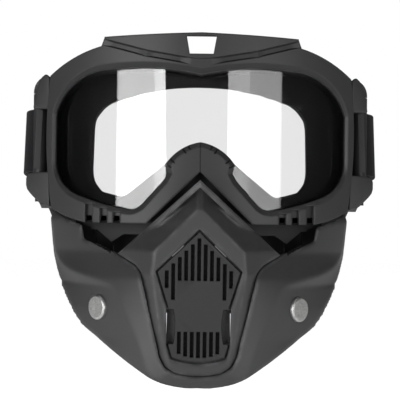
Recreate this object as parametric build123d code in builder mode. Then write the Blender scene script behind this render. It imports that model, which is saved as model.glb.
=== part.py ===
from build123d import *
import os
from math import asin, atan2, cos, degrees, hypot, radians, sin, sqrt, tan

# Sports goggles with a detachable lower face mask.  Millimetres.  +X is to the right of someone
# facing the goggles, -Y is the way the wearer looks, +Z is up.  The origin is on the mid-plane at
# eye height, at the back face of the forehead foam.

# ---------------------------------------------------------------- driving dimensions
# lens and front frame: concentric about a vertical axis behind the lens
lens_axis_y = 50.0          # axis of the lens curve
lens_front_r = 100.0        # radius of the lens's front face
lens_t = 2.2                # polycarbonate thickness
lens_flange = 3.2           # lens edge hidden in the frame all round
frame_lip = 6.0             # frame in front of the lens
frame_depth = 14.0          # frame depth from its front face
side_wall = 1.6             # frame outside the lens's seat, at the temples
fit_gap = 0.2               # room round the lens and the skirt in the frame
rim_chamfer = 2.4           # bevel round the lens opening

# lens opening, right half, as seen from the front
open_dip_z = 31.2           # shallow V over the nose
open_top = (44.0, 33.8)
open_top_mid = (26.0, 34.4)
open_side_x = 71.5
open_side_z = (13.0, -10.0)
open_corner_top = (61.5, 27.8)
open_corner_low = (68.0, -21.0)
open_low_out = (60.0, -27.0)
open_low_mid = (47.9, -31.0)
open_low_in = (36.0, -33.6)
open_toe_mid = (31.0, -33.2)
open_toe = (27.5, -30.8)
nose_root = (17.2, -19.4)
nose_step = (15.5, -16.1)
nose_cap_out = (16.6, -12.0)
nose_cap_mid = (9.0, -4.6)
nose_cap_z = -1.3

# outer outline of the front frame
brow_top_z = 50.5
brow_corner = (46.7, 49.0)
brow_foot = (48.3, 44.8)
shoulder_mid = (63.0, 39.4)
shoulder_end = (74.6, 31.9)
frame_low_end = (73.4, -33.7)
frame_low_mid = (66.0, -37.3)
frame_flat_out = (55.0, -40.3)
frame_flat_in_x = 25.5
nose_band_z = -15.3         # peak of the nose band's lower edge

# raised brow panel and its window
panel_rise = 1.4
panel_corner_z = 47.9
panel_v_mid = (26.6, 42.2)
panel_v_low = (6.6, 38.6)
panel_v_z = 38.1
top_wall = 1.7              # frame over the lens's seat
fin_t = 2.6                 # brow standing above it, thin and open behind
window_top_w = 14.2
window_low_w = 11.2
window_z = (48.9, 40.4)

# vent grooves below the lens
groove_x = (53.6, 46.2, 39.8)
groove_top_z = (-31.2, -33.2, -35.0)
groove_w = 3.8
groove_depth = 2.0
groove_hole_w = 2.8
groove_hole_z = (-39.3, -36.9)

# nose-cap slits
slit_w = 1.0
slit_depth = 3.0

# face seat: concentric about a vertical axis behind the head's front
face_axis_y = 110.0
fleece_t = 6.0
foam_t = 8.0
skirt_wall = 2.4
skirt_flange_t = 2.4
skirt_nose_inset = 1.8      # skirt behind the nose band, inside its lower edge
apron_t = 2.6               # plate hanging from the skirt behind the frame
apron_drop = 5.0            # below the nose band, square to its edge
apron_low_z = -46.0
apron_tab = (43.0, -50.0)
apron_tab_in_x = 37.0
apron_tab_out = (50.5, -44.0)
apron_out = (57.0, -41.8)
apron_end = (62.5, -36.0)
foam_inset = 0.8
cheek_lobe = ((27.0, -34.0), (29.5, -52.0), (38.0, -60.0), (54.0, -57.5), (62.0, -46.0), (65.5, -31.0))
eye_top_z = 27.7
eye_top_out = (45.0, 20.0)
eye_corner_top = (51.6, 15.0)
eye_side_top = (54.0, 7.0)
eye_side_low = (54.5, -12.0)
eye_corner_low = (51.5, -22.8)
eye_low = (43.0, -27.7)
eye_toe = (36.0, -26.2)
eye_nose_out = (20.5, -13.5)
eye_nose_z = -5.0

# skirt vents and their foam strips
vent_slot = (9.0, 7.0)      # across and fore-and-aft
vent_slot_y = -24.0
vent_top_pitch = 15.0
vent_low_x = (38.5, 50.5)
vent_foam_t = 2.0
vent_foam_margin = 3.0

# outriggers and hinges
frame_side_x = open_side_x + lens_flange + fit_gap + side_wall
fin_z = open_top_mid[1] + lens_flange + fit_gap + top_wall
pin_r = 1.4
pin_gap = 0.05
barrel_r = 3.6
barrel_gap = 0.7            # barrel to the frame's side
hinge_x = frame_side_x + barrel_gap + barrel_r
hinge_y = -11.0
lug_top_z = (24.0, 32.4)
lug_low_z = (-32.0, -23.0)
ear_peak = (77.2, 33.0)
ear_cheek = (82.4, 29.6)
ear_foot = (82.6, -29.0)
lug_gap = 0.4
lug_root = 3.0              # lug's reach into the frame
pin_z = (-29.0, 30.0)
pin_head_r = 2.4
pin_head_t = 1.6
arm_t = 3.2
bar_r = 2.2
bar_x = 84.6
bar_y = 9.0
arm_half_h = 20.5
bar_end = 0.8               # bar's ends inside the arm's
window_reach = 7.0          # strap window in front of the bar

# strap
strap_slope = 17.0          # degrees down towards the back
strap_w = 34.0
strap_t = 2.0
strap_gap = 0.3
strap_side_run = 82.0
strap_back_r = 83.0
loop_merge = 12.0           # from the bar to where both layers meet
loop_reach = 34.0           # end of the sewn loop, from the hinge
slider_at = 44.0            # slider's middle, back from the bar
slider_len = 13.0
slider_bar = 2.6
slider_rail = 3.2
slider_gap = 0.3
slider_travel = 25.0
grip_w = 1.6
grip_t = 0.5

# mask form: each cheek is an inner panel and an outer cheek, both of large radius in plan
mask_wall = 2.4
panel_form_r = 150.0
panel_form = ((-14.0, -54.9, 67.4), (-54.5, -54.9, 67.4), (-66.0, -56.0, 61.5),
              (-82.0, -42.0, 70.5), (-118.0, -25.0, 80.5))
cheek_form = ((-14.0, -24.5, 12.0, 100.0), (-54.0, -24.5, 12.0, 100.0),
              (-70.0, -79.0, 60.0, 165.0), (-118.0, -85.0, 116.0, 207.0))
chin_form = ((-14.0, 10.0), (-90.0, 18.0), (-118.0, 25.5))
chin_form_r = 90.0
wing_back_y = 8.0
wing_low = (-10.5, -64.0)
jaw_low = (-35.0, -90.0)
wing_corner_z = -46.0
jaw_corner = (57.5, -90.0)
chin_out = (22.0, -112.4)
chin_mid = (12.0, -116.1)
chin_z = -116.9
mask_gap = 1.3              # mask's top edge below the frame
notch_out = (56.3, -48.5)
notch_in = (38.9, -54.9)
notch_top_x = 57.2

# nose shell
seam_gap = 0.25
shell_lap = 3.0
shell_rim = 2.6
shield_top_z = -19.5
shield_turn = (30.2, -59.6)
shield_shoulder = (27.2, -63.0)
shield_mid = (23.0, -80.8)
shield_low = (17.8, -101.9)
shield_foot = (15.5, -106.6)
shield_toe = (11.0, -109.6)
shield_toe_mid = (5.8, -110.7)
shield_z = -111.1
ridge_half = 1.0            # half width of the blunt ridge
ridge_top_y = -56.5
ridge_break_z = -33.5
ridge_break_y = -68.6
face_lean = 2.5             # degrees, vent face leaning back downwards
face_wide_z = -53.0
face_wide = 21.0
face_shoulder_z = -64.0
face_shoulder = 22.0
face_mid_z = -90.0
face_mid = 18.0
face_low_z = -118.0
face_low = 11.0
flank_x = 48.0
flank_y = (-35.0, -36.0, -40.5, -39.5, -43.0, -47.0)

# vent cover
cover_t = 2.3
window_gap = 0.9            # cover's edge to the nose shell
cover_peak_z = -43.6
cover_shoulder = (19.4, -62.4)
cover_side_top = (14.2, -79.0)
cover_side_low = (14.0, -97.0)
cover_foot = (12.4, -102.4)
cover_z = -104.6
waist_in_x = 11.0           # crescent cut in each side
waist_end_x = 11.8
waist_z = (-80.0, -96.0)
ledge_w = 1.5
ledge_t = 2.0
slot_pitch = 3.0
slot_w = 1.55
upper_slots = ((-46.8, -66.4), (-49.6, -66.4), (-52.6, -66.4), (-55.6, -66.4), (-58.6, -75.3),
               (-61.9, -69.8))
lower_slots = ((-90.5, -102.4), (-90.5, -102.3), (-90.5, -101.8), (-90.5, -100.6))
screen_t = 0.6
screen_gap = 0.4
catch_span = (7.2, 12.6)
catch_gap = 0.15
cover_travel = 14.0

# filter behind the vent cover
filter_t = 5.0
filter_room = 0.6
filter_ring = 2.0
filter_back_t = 1.6
filter_bar = 2.0
filter_bar_pitch = 9.0

# mask rivets and pads
rivet_at = (48.1, -80.9)
rivet_r = 6.1
rivet_dome = 1.8
rivet_post_r = 1.9
post_gap = 0.15
washer_r = 5.5
washer_t = 1.0
pad_t = 5.0
pad_x = (37.0, 62.0)
pad_z = (-92.0, -62.0)
pad_round = 6.0
pad_margin = 4.0            # pad's edge inside the mask's rear edge
chin_pad_half = 20.0
chin_pad_low_z = -114.6
chin_pad_gap = 0.4
seat_sink = 0.2             # flat seat under each rivet and washer

# mask tongues and their sockets on the skirt
tongue_x = 46.8
tongue_w = 9.0
tongue_t = 2.4
tongue_y = -22.4
tongue_top_z = -37.5
tongue_gap = 0.3
shelf_z = (-61.0, -57.5)
socket_wall = 2.0
socket_low_z = -44.0
mask_travel = 25.0

span = 130.0                # longer than any cut has to reach

# ---------------------------------------------------------------- derived sizes
lens_rear_r = lens_front_r - lens_t
frame_front_r = lens_front_r + frame_lip
frame_rear_r = frame_front_r - frame_depth
panel_r = frame_front_r + panel_rise
face_r = face_axis_y
foam_rear_r = face_r + fleece_t
foam_front_r = foam_rear_r + foam_t
face_lean_tan = tan(radians(face_lean))
slope = radians(strap_slope)
strap_plane = Plane(origin=(0, bar_y, 0), x_dir=(1, 0, 0), z_dir=(0, sin(slope), cos(slope)))
SIDES = {"right": 1, "left": -1}

os.makedirs("parts", exist_ok=True)


def save(piece, name):
    """Label a finished piece and write it under its node's name."""
    piece.label = name
    export_step(piece, f"parts/{name}.step")


# ---------------------------------------------------------------- outlines seen from the front
def opening_outline(grow=0.0):
    """The lens opening, grown by a margin."""
    with BuildSketch(Plane.XZ, mode=Mode.PRIVATE) as outline:
        with BuildLine():
            ThreePointArc((0, open_dip_z), open_top_mid, open_top)
            ThreePointArc(open_top, open_corner_top, (open_side_x, open_side_z[0]))
            Line((open_side_x, open_side_z[0]), (open_side_x, open_side_z[1]))
            ThreePointArc((open_side_x, open_side_z[1]), open_corner_low, open_low_out)
            ThreePointArc(open_low_out, open_low_mid, open_low_in)
            ThreePointArc(open_low_in, open_toe_mid, open_toe)
            Polyline(open_toe, nose_root, nose_step, nose_cap_out)
            ThreePointArc(nose_cap_out, nose_cap_mid, (0, nose_cap_z))
            Line((0, nose_cap_z), (0, open_dip_z))
        make_face()
        mirror(about=Plane.YZ)
        if grow:
            offset(amount=grow)
    return outline.sketch


def frame_outline():
    """The front frame's outer outline."""
    with BuildSketch(Plane.XZ, mode=Mode.PRIVATE) as outline:
        with BuildLine():
            Line((0, brow_top_z), brow_corner)
            Line(brow_corner, brow_foot)
            ThreePointArc(brow_foot, shoulder_mid, shoulder_end)
            ThreePointArc(shoulder_end, (frame_side_x, 0), frame_low_end)
            ThreePointArc(frame_low_end, frame_low_mid, frame_flat_out)
            Line(frame_flat_out, (frame_flat_in_x, frame_flat_out[1]))
            Line((frame_flat_in_x, frame_flat_out[1]), (0, nose_band_z))
            Line((0, nose_band_z), (0, brow_top_z))
        make_face()
        mirror(about=Plane.YZ)
    return outline.sketch


def skirt_outline(grow=0.0):
    """The skirt behind the frame: the lens's outline with a deeper nose."""
    with BuildSketch(Plane.XZ, mode=Mode.PRIVATE) as outline:
        add(opening_outline(lens_flange))
        with BuildLine():
            Polyline((0, nose_band_z + skirt_nose_inset * sqrt(2)),
                     (frame_flat_in_x, frame_flat_out[1] + skirt_nose_inset * sqrt(2)),
                     (open_toe[0] + 4, open_toe[1]), (0, eye_nose_z),
                     close=True)
        make_face()
        mirror(about=Plane.YZ)
        if grow:
            offset(amount=grow)
    return outline.sketch


def eye_outline():
    """The opening in the foam that the wearer looks through."""
    with BuildSketch(Plane.XZ, mode=Mode.PRIVATE) as outline:
        with BuildLine():
            ThreePointArc((0, eye_top_z), (24, 25.6), eye_top_out)
            ThreePointArc(eye_top_out, eye_corner_top, eye_side_top)
            Line(eye_side_top, eye_side_low)
            ThreePointArc(eye_side_low, eye_corner_low, eye_low)
            ThreePointArc(eye_low, (39.3, -27.5), eye_toe)
            Line(eye_toe, eye_nose_out)
            ThreePointArc(eye_nose_out, (11.5, -7.2), (0, eye_nose_z))
            Line((0, eye_nose_z), (0, eye_top_z))
        make_face()
        mirror(about=Plane.YZ)
    return outline.sketch


def round_band(outer_r, inner_r, axis_y):
    """A tall ring about a vertical axis."""
    with BuildPart(mode=Mode.PRIVATE) as band:
        with BuildSketch(Plane.XY.offset(-span)):
            with Locations((0, axis_y)):
                Circle(outer_r)
                if inner_r:
                    Circle(inner_r, mode=Mode.SUBTRACT)
        extrude(amount=2 * span)
    return band.part


def forward(outline):
    """Everything in front of the wearer inside an outline, with a little behind."""
    with BuildPart(mode=Mode.PRIVATE) as prism:
        extrude(outline, amount=span, dir=(0, -1, 0), both=True)
    return prism.part


# ---------------------------------------------------------------- lens and front frame
def panel_prism():
    """The brow panel's outline, with a V-shaped lower edge."""
    with BuildSketch(Plane.XZ, mode=Mode.PRIVATE) as outline:
        with BuildLine():
            Polyline((0, brow_top_z), brow_corner, (brow_corner[0], panel_corner_z), panel_v_mid,
                     panel_v_low, (0, panel_v_z), close=True)
        make_face()
        mirror(about=Plane.YZ)
    with BuildPart(mode=Mode.PRIVATE) as panel:
        extrude(outline.sketch, amount=span, dir=(0, -1, 0))
        add(round_band(panel_r, frame_rear_r, lens_axis_y), mode=Mode.INTERSECT)
    return panel.part


def ear_outline():
    """Outline of the hinge lugs from the front, running into the frame's side."""
    with BuildSketch(Plane.XZ, mode=Mode.PRIVATE) as outline:
        edge_x = hinge_x + barrel_r
        with BuildLine():
            Line((0, 0), shoulder_end)
            Line(shoulder_end, ear_peak)
            ThreePointArc(ear_peak, ear_cheek, (edge_x, lug_top_z[0]))
            Line((edge_x, lug_top_z[0]), (edge_x, lug_low_z[1]))
            ThreePointArc((edge_x, lug_low_z[1]), ear_foot, (frame_low_end[0], frame_low_end[1]))
            Line(frame_low_end, (0, 0))
        make_face()
        mirror(about=Plane.YZ)
    return outline.sketch


def lug(side, low_z, high_z):
    """One hinge lug: a plate from the frame's side out to the pin."""
    with BuildPart(mode=Mode.PRIVATE) as plate:
        with BuildSketch(Plane.XY.offset(low_z)):
            with Locations((side * hinge_x, hinge_y)):
                Circle(barrel_r)
            with Locations((side * (hinge_x + frame_side_x - lug_root) / 2, hinge_y)):
                Rectangle(hinge_x - frame_side_x + lug_root, 2 * barrel_r)
        extrude(amount=high_z - low_z)
    return plate.part & forward(ear_outline())


with BuildPart() as lens:
    add(round_band(lens_front_r, lens_rear_r, lens_axis_y))
    add(forward(opening_outline(lens_flange)), mode=Mode.INTERSECT)
    split(bisect_by=Plane.XZ.offset(-lens_axis_y), keep=Keep.TOP)
save(lens.part, "lens")

with BuildPart() as front_frame:
    add(round_band(frame_front_r, frame_rear_r, lens_axis_y))
    add(forward(frame_outline()), mode=Mode.INTERSECT)
    split(bisect_by=Plane.XZ.offset(-lens_axis_y), keep=Keep.TOP)
    add(forward(opening_outline()), mode=Mode.SUBTRACT)
    # bevel round the opening's front edge
    face = front_frame.faces().filter_by(lambda f: f.radius == frame_front_r).sort_by(SortBy.AREA)[-1]
    chamfer(face.inner_wires()[0].edges(), rim_chamfer)
    # brow panel and its window
    add(panel_prism())
    with BuildSketch(Plane.XZ):
        with BuildLine():
            Polyline((-window_top_w / 2, window_z[0]), (window_top_w / 2, window_z[0]),
                     (window_low_w / 2, window_z[1]), (-window_low_w / 2, window_z[1]), close=True)
        make_face()
    extrude(amount=span, mode=Mode.SUBTRACT)
    # brow stands above the lens's seat as a thin fin
    with BuildSketch(Plane.XY.offset(fin_z)):
        with Locations((0, lens_axis_y)):
            Circle(frame_front_r - fin_t)
    extrude(amount=brow_top_z, mode=Mode.SUBTRACT)
    # seat for the lens and the skirt, open to the rear
    seat = forward(opening_outline(lens_flange + fit_gap))
    seat_depth = round_band(lens_front_r, 0, lens_axis_y)
    add(seat.intersect(seat_depth), mode=Mode.SUBTRACT)
    # vent grooves under the lens, each with a hole through at its foot
    groove_floor = round_band(frame_front_r + 1, frame_front_r - groove_depth, lens_axis_y)
    for x, top_z in zip(groove_x, groove_top_z):
        for side in SIDES.values():
            low_z = frame_flat_out[1] - 1
            with BuildSketch(Plane.XZ, mode=Mode.PRIVATE) as groove:
                with Locations((side * x, (top_z + low_z) / 2)):
                    Rectangle(groove_w, top_z - low_z)
            with BuildPart(mode=Mode.PRIVATE) as cut:
                extrude(groove.sketch, amount=span, dir=(0, -1, 0))
                add(groove_floor, mode=Mode.INTERSECT)
            add(cut.part, mode=Mode.SUBTRACT)
            with BuildSketch(Plane.XZ):
                with Locations((side * x, sum(groove_hole_z) / 2)):
                    Rectangle(groove_hole_w, groove_hole_z[1] - groove_hole_z[0])
            extrude(amount=span, mode=Mode.SUBTRACT)
    # hinge lugs
    for side in SIDES.values():
        add(lug(side, lug_top_z[0], lug_top_z[1]))
        add(lug(side, lug_low_z[0], lug_low_z[1]))
        with BuildSketch(Plane.XY.offset(pin_z[0])):
            with Locations((side * hinge_x, hinge_y)):
                Circle(pin_r)
        extrude(amount=pin_z[1] - pin_z[0], mode=Mode.SUBTRACT)
        with BuildSketch(Plane.XY.offset(pin_z[0])):
            with Locations((side * hinge_x, hinge_y)):
                Circle(pin_head_r)
        extrude(amount=lug_low_z[0] - pin_z[0], mode=Mode.SUBTRACT)
save(front_frame.part, "front_frame")

# ---------------------------------------------------------------- skirt and face foam
def apron_outline():
    """Plate below the skirt, closing the gap between the frame and the mask."""
    rake = (frame_flat_out[1] - nose_band_z) / frame_flat_in_x
    peak_z = nose_band_z - apron_drop * hypot(1, rake)
    with BuildSketch(Plane.XZ, mode=Mode.PRIVATE) as outline:
        with BuildLine():
            Polyline((0, peak_z), ((apron_low_z - peak_z) / rake, apron_low_z),
                     (apron_tab_in_x, apron_low_z), apron_tab, apron_tab_out, apron_out, apron_end,
                     open_low_out, open_toe, (0, nose_cap_z - lens_flange), close=True)
        make_face()
        mirror(about=Plane.YZ)
    return outline.sketch


def seat_outline(grow=0.0):
    """The face seat from the front: the skirt's outline with a lobe on each cheek."""
    with BuildSketch(Plane.XZ, mode=Mode.PRIVATE) as outline:
        add(skirt_outline())
        with BuildLine():
            ThreePointArc(*cheek_lobe[:3])
            ThreePointArc(cheek_lobe[2], cheek_lobe[3], cheek_lobe[4])
            Polyline(cheek_lobe[4], cheek_lobe[5], (open_low_in[0], nose_cap_z), cheek_lobe[0])
        make_face()
        mirror(about=Plane.YZ)
        if grow:
            offset(amount=grow)
    return outline.sketch


front_of_face = round_band(foam_front_r, 0, face_axis_y)
tube_r = frame_rear_r - fit_gap
hollow = forward(opening_outline(lens_flange - skirt_wall))
with BuildPart() as rear_skirt:
    # tube behind the frame, its apron, and its neck in the frame's seat
    extrude(skirt_outline(), amount=span, dir=(0, -1, 0), both=True)
    add(round_band(tube_r, 0, lens_axis_y), mode=Mode.INTERSECT)
    add(round_band(tube_r, tube_r - apron_t, lens_axis_y) & forward(apron_outline()))
    add(forward(opening_outline(lens_flange)) & round_band(lens_rear_r, tube_r - 1, lens_axis_y))
    # sockets for the mask's tongues, behind the apron
    for side in SIDES.values():
        with BuildSketch(Plane.XY.offset(socket_low_z)):
            with Locations((side * tongue_x, tongue_y - socket_wall / 2)):
                Rectangle(tongue_w + 2 * (tongue_gap + socket_wall),
                          tongue_t + 2 * tongue_gap + 3 * socket_wall)
        extrude(amount=tongue_top_z + socket_wall + tongue_gap - socket_low_z)
    add(round_band(tube_r, 0, lens_axis_y), mode=Mode.INTERSECT)
    for side in SIDES.values():
        with BuildSketch(Plane.XY.offset(apron_tab[1] - 1)):
            with Locations((side * tongue_x, tongue_y)):
                Rectangle(tongue_w + 2 * tongue_gap, tongue_t + 2 * tongue_gap)
        extrude(amount=tongue_top_z + tongue_gap - apron_tab[1] + 1, mode=Mode.SUBTRACT)
    # hollow, leaving the flange that carries the foam
    flange_front = round_band(foam_front_r + skirt_flange_t, 0, face_axis_y)
    add(hollow - flange_front, mode=Mode.SUBTRACT)
    flange_limits = round_band(tube_r, 0, lens_axis_y) & forward(seat_outline())
    add(flange_front & flange_limits)
    add(forward(eye_outline()), mode=Mode.SUBTRACT)
    add(front_of_face, mode=Mode.SUBTRACT)
    # vents through the top and bottom walls
    with BuildSketch(Plane.XY):
        with Locations((0, vent_slot_y)):
            with GridLocations(vent_top_pitch, 0, 5, 1):
                RectangleRounded(*vent_slot, vent_slot[1] / 3)
    extrude(amount=span, mode=Mode.SUBTRACT)
    with BuildSketch(Plane.XY):
        for side in SIDES.values():
            for x in vent_low_x:
                with Locations((side * x, vent_slot_y + vent_slot[1])):
                    RectangleRounded(vent_slot[1], vent_slot[1], vent_slot[1] / 3)
    extrude(amount=tongue_top_z + socket_wall, mode=Mode.SUBTRACT)
save(rear_skirt.part, "rear_skirt")


def vent_foam(x_range, y_middle, high):
    """A strip of open foam over the inside of a row of vents."""
    lining = hollow - forward(opening_outline(lens_flange - skirt_wall - vent_foam_t)) - flange_front
    with BuildPart(mode=Mode.PRIVATE) as strip:
        with BuildSketch(Plane.XY):
            with Locations((sum(x_range) / 2, y_middle)):
                Rectangle(x_range[1] - x_range[0], vent_slot[1] + 2 * vent_foam_margin)
        extrude(amount=span if high else -span)
        add(lining, mode=Mode.INTERSECT)
    return strip.part


reach = 2 * vent_top_pitch + vent_slot[0] / 2 + vent_foam_margin
save(vent_foam((-reach, reach), vent_slot_y, True), "vent_foam_top")
for name, side in SIDES.items():
    past = vent_slot[1] / 2 + vent_foam_margin
    ends = sorted((side * (vent_low_x[0] - past), side * (vent_low_x[1] + past)))
    save(vent_foam(ends, vent_slot_y + vent_slot[1], False), f"vent_foam_{name}")


def foam_ring(front_r, rear_r):
    """A layer of face foam between two radii of the face curve."""
    with BuildPart(mode=Mode.PRIVATE) as ring:
        add(round_band(front_r, rear_r, face_axis_y))
        add(forward(seat_outline(-foam_inset)), mode=Mode.INTERSECT)
        add(forward(eye_outline()), mode=Mode.SUBTRACT)
        split(bisect_by=Plane.XZ.offset(-face_axis_y), keep=Keep.TOP)
    return ring.part


save(foam_ring(foam_front_r, foam_rear_r), "face_foam")
save(foam_ring(foam_rear_r, face_r), "face_fleece")

# ---------------------------------------------------------------- mask forms and outlines
def cheeks(inset):
    """The mask's outer form drawn in by inset: on each side an inner panel and an outer cheek,
    which meet at the crest."""
    low_z = panel_form[-1][0]
    with BuildPart(mode=Mode.PRIVATE) as form:
        with BuildSketch(Plane.XY.offset(low_z)):
            with Locations((0, -span / 2 + span / 10)):
                Rectangle(2 * span, span)
        extrude(amount=panel_form[0][0] - low_z)
        for z, y in chin_form:
            with BuildSketch(Plane.XY.offset(z)):
                with Locations((0, y)):
                    Circle(chin_form_r - inset)
        loft(ruled=True, mode=Mode.INTERSECT)
        for side in SIDES.values():
            for z, x, y in panel_form:
                with BuildSketch(Plane.XY.offset(z)):
                    with Locations((side * x, y)):
                        Circle(panel_form_r - inset)
            loft(ruled=True, mode=Mode.INTERSECT)
            for z, x, y, r in cheek_form:
                with BuildSketch(Plane.XY.offset(z)):
                    with Locations((side * x, y)):
                        Circle(r - inset)
            loft(ruled=True, mode=Mode.INTERSECT)
    return form.part


def face_y(z):
    """Depth of the vent face at a height."""
    return ridge_break_y + (ridge_break_z - z) * face_lean_tan


def muzzle_levels():
    """Plan sections of the muzzle: height, half width and depth of its face, depth of its flank."""
    return ((shield_top_z + 4, ridge_half, ridge_top_y, flank_y[0]),
            (ridge_break_z, ridge_half, ridge_break_y, flank_y[1]),
            (face_wide_z, face_wide, face_y(face_wide_z), flank_y[2]),
            (face_shoulder_z, face_shoulder, face_y(face_shoulder_z), flank_y[3]),
            (face_mid_z, face_mid, face_y(face_mid_z), flank_y[4]),
            (face_low_z, face_low, face_y(face_low_z), flank_y[5]))


def muzzle(inset):
    """The nose shell's faceted outer form drawn in by inset."""
    with BuildPart(mode=Mode.PRIVATE) as form:
        for z, half, front_y, side_y in muzzle_levels():
            run = flank_x - half
            drop = side_y - front_y
            edge = hypot(run, drop)
            inner_half = max(half - inset * (drop / edge - (edge - run) * run / (drop * edge)), 0.2)
            inner_y = front_y + inset
            outer_y = side_y + inset * edge / run
            with BuildSketch(Plane.XY.offset(z)):
                with BuildLine():
                    Polyline((-inner_half, inner_y), (inner_half, inner_y), (flank_x, outer_y),
                             (flank_x, span / 10), (-flank_x, span / 10), (-flank_x, outer_y),
                             close=True)
                make_face()
        loft(ruled=True)
    return form.part


def shield_outline(grow=0.0):
    """The nose shell as seen from the front."""
    with BuildSketch(Plane.XZ, mode=Mode.PRIVATE) as outline:
        with BuildLine():
            Polyline((0, shield_top_z), notch_in, shield_turn, shield_shoulder, shield_mid,
                     shield_low, shield_foot, shield_toe)
            ThreePointArc(shield_toe, shield_toe_mid, (0, shield_z))
            Line((0, shield_z), (0, shield_top_z))
        make_face()
        mirror(about=Plane.YZ)
        if grow:
            offset(amount=grow)
    return outline.sketch


def cover_blank(grow=0.0):
    """The vent cover's outline without its side cuts, which the window in the nose shell follows."""
    with BuildSketch(Plane.XZ, mode=Mode.PRIVATE) as outline:
        with BuildLine():
            Polyline((0, cover_peak_z), cover_shoulder, cover_side_top, cover_side_low, cover_foot)
            ThreePointArc(cover_foot, (cover_foot[0] / 2, (cover_z * 3 + cover_foot[1]) / 4),
                          (0, cover_z))
            Line((0, cover_z), (0, cover_peak_z))
        make_face()
        mirror(about=Plane.YZ)
        if grow:
            offset(amount=grow)
    return outline.sketch


def waist_cuts():
    """The crescents cut from the vent cover's sides."""
    with BuildSketch(Plane.XZ, mode=Mode.PRIVATE) as outline:
        with BuildLine():
            ThreePointArc((waist_end_x, waist_z[0]), (waist_in_x, sum(waist_z) / 2),
                          (waist_end_x, waist_z[1]))
            Polyline((waist_end_x, waist_z[1]), (span / 4, waist_z[1]), (span / 4, waist_z[0]),
                     (waist_end_x, waist_z[0]))
        make_face()
        mirror(about=Plane.YZ)
    return outline.sketch


def layer(form, outer_inset, inner_inset, outline):
    """A layer of a form between two insets, inside an outline seen from the front."""
    with BuildPart(mode=Mode.PRIVATE) as skin:
        add(form(outer_inset))
        add(form(inner_inset), mode=Mode.SUBTRACT)
        add(forward(outline), mode=Mode.INTERSECT)
    return skin.part


def cheek_surface(x, z):
    """Depth and facing of the outer cheek at a point seen from the front."""
    upper, lower = [(a, b) for a, b in zip(cheek_form, cheek_form[1:]) if a[0] >= z >= b[0]][0]
    share = (upper[0] - z) / (upper[0] - lower[0])
    cx, cy, r = [upper[i] + share * (lower[i] - upper[i]) for i in (1, 2, 3)]
    dx, dy, dr = [(lower[i] - upper[i]) / (lower[0] - upper[0]) for i in (1, 2, 3)]
    reach = sqrt(r * r - (x - cx) ** 2)
    normal = Vector((x - cx) / r, -reach / r, 0)
    fall = -(normal.X * dx + normal.Y * dy + dr)
    return Vector(x, cy - reach, z), Vector(normal.X, normal.Y, fall).normalized()


def jaw_prism():
    """The mask's outline from the front, with a notch on each side below the frame."""
    with BuildSketch(Plane.XZ, mode=Mode.PRIVATE) as outline:
        with BuildLine():
            ThreePointArc((0, chin_z), chin_mid, chin_out)
            Line(chin_out, jaw_corner)
            top_z = frame_low_end[1] - mask_gap
            Polyline(jaw_corner, (span / 1.5, jaw_corner[1] + 20), (span / 1.5, top_z),
                     (frame_low_end[0], top_z))
            ThreePointArc((frame_low_end[0], top_z), (frame_low_mid[0], frame_low_mid[1] - mask_gap),
                          (notch_top_x, frame_flat_out[1] - mask_gap))
            Polyline((notch_top_x, frame_flat_out[1] - mask_gap), notch_out, notch_in,
                     (0, shield_top_z), (0, chin_z))
        make_face()
        mirror(about=Plane.YZ)
    return forward(outline.sketch)


def wing_prism():
    """The mask's outline from the side: straight behind the wings, slanting to the chin."""
    with BuildSketch(Plane.YZ, mode=Mode.PRIVATE) as outline:
        rise = (wing_low[1] - jaw_low[1]) / (wing_low[0] - jaw_low[0])
        with BuildLine():
            Polyline((-span, 0), (wing_back_y, 0), (wing_back_y, wing_corner_z), wing_low, jaw_low,
                     (jaw_low[0] - span / 3, jaw_low[1] - span / 3 * rise),
                     (-span, jaw_low[1] - span / 3 * rise), close=True)
        make_face()
    with BuildPart(mode=Mode.PRIVATE) as prism:
        extrude(outline.sketch, amount=span, dir=(1, 0, 0), both=True)
    return prism.part


# ---------------------------------------------------------------- mask shells
cheek_outer = cheeks(0)
cheek_inner = cheeks(mask_wall)
cheek_lap = cheeks(2 * mask_wall)
muzzle_outer = muzzle(0)
muzzle_inner = muzzle(mask_wall)
jaw_limits = jaw_prism()
wing_limits = wing_prism()
rivet_point, rivet_normal = cheek_surface(*rivet_at)


def rivet_plane(side):
    """Plane on the cheek's surface at a rivet, facing outwards."""
    origin = (side * rivet_point.X, rivet_point.Y, rivet_point.Z)
    facing = (side * rivet_normal.X, rivet_normal.Y, rivet_normal.Z)
    return Plane(origin=origin, x_dir=(rivet_normal.Y, -side * rivet_normal.X, 0), z_dir=facing)


def rivet_disc(side, low, high, outer_r, inner_r=0.0):
    """A disc or ring on a rivet's axis, between two distances from the cheek's surface."""
    with BuildPart(mode=Mode.PRIVATE) as disc:
        with BuildSketch(rivet_plane(side).offset(low)):
            Circle(outer_r)
            if inner_r:
                Circle(inner_r, mode=Mode.SUBTRACT)
        extrude(amount=high - low)
    return disc.part


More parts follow.
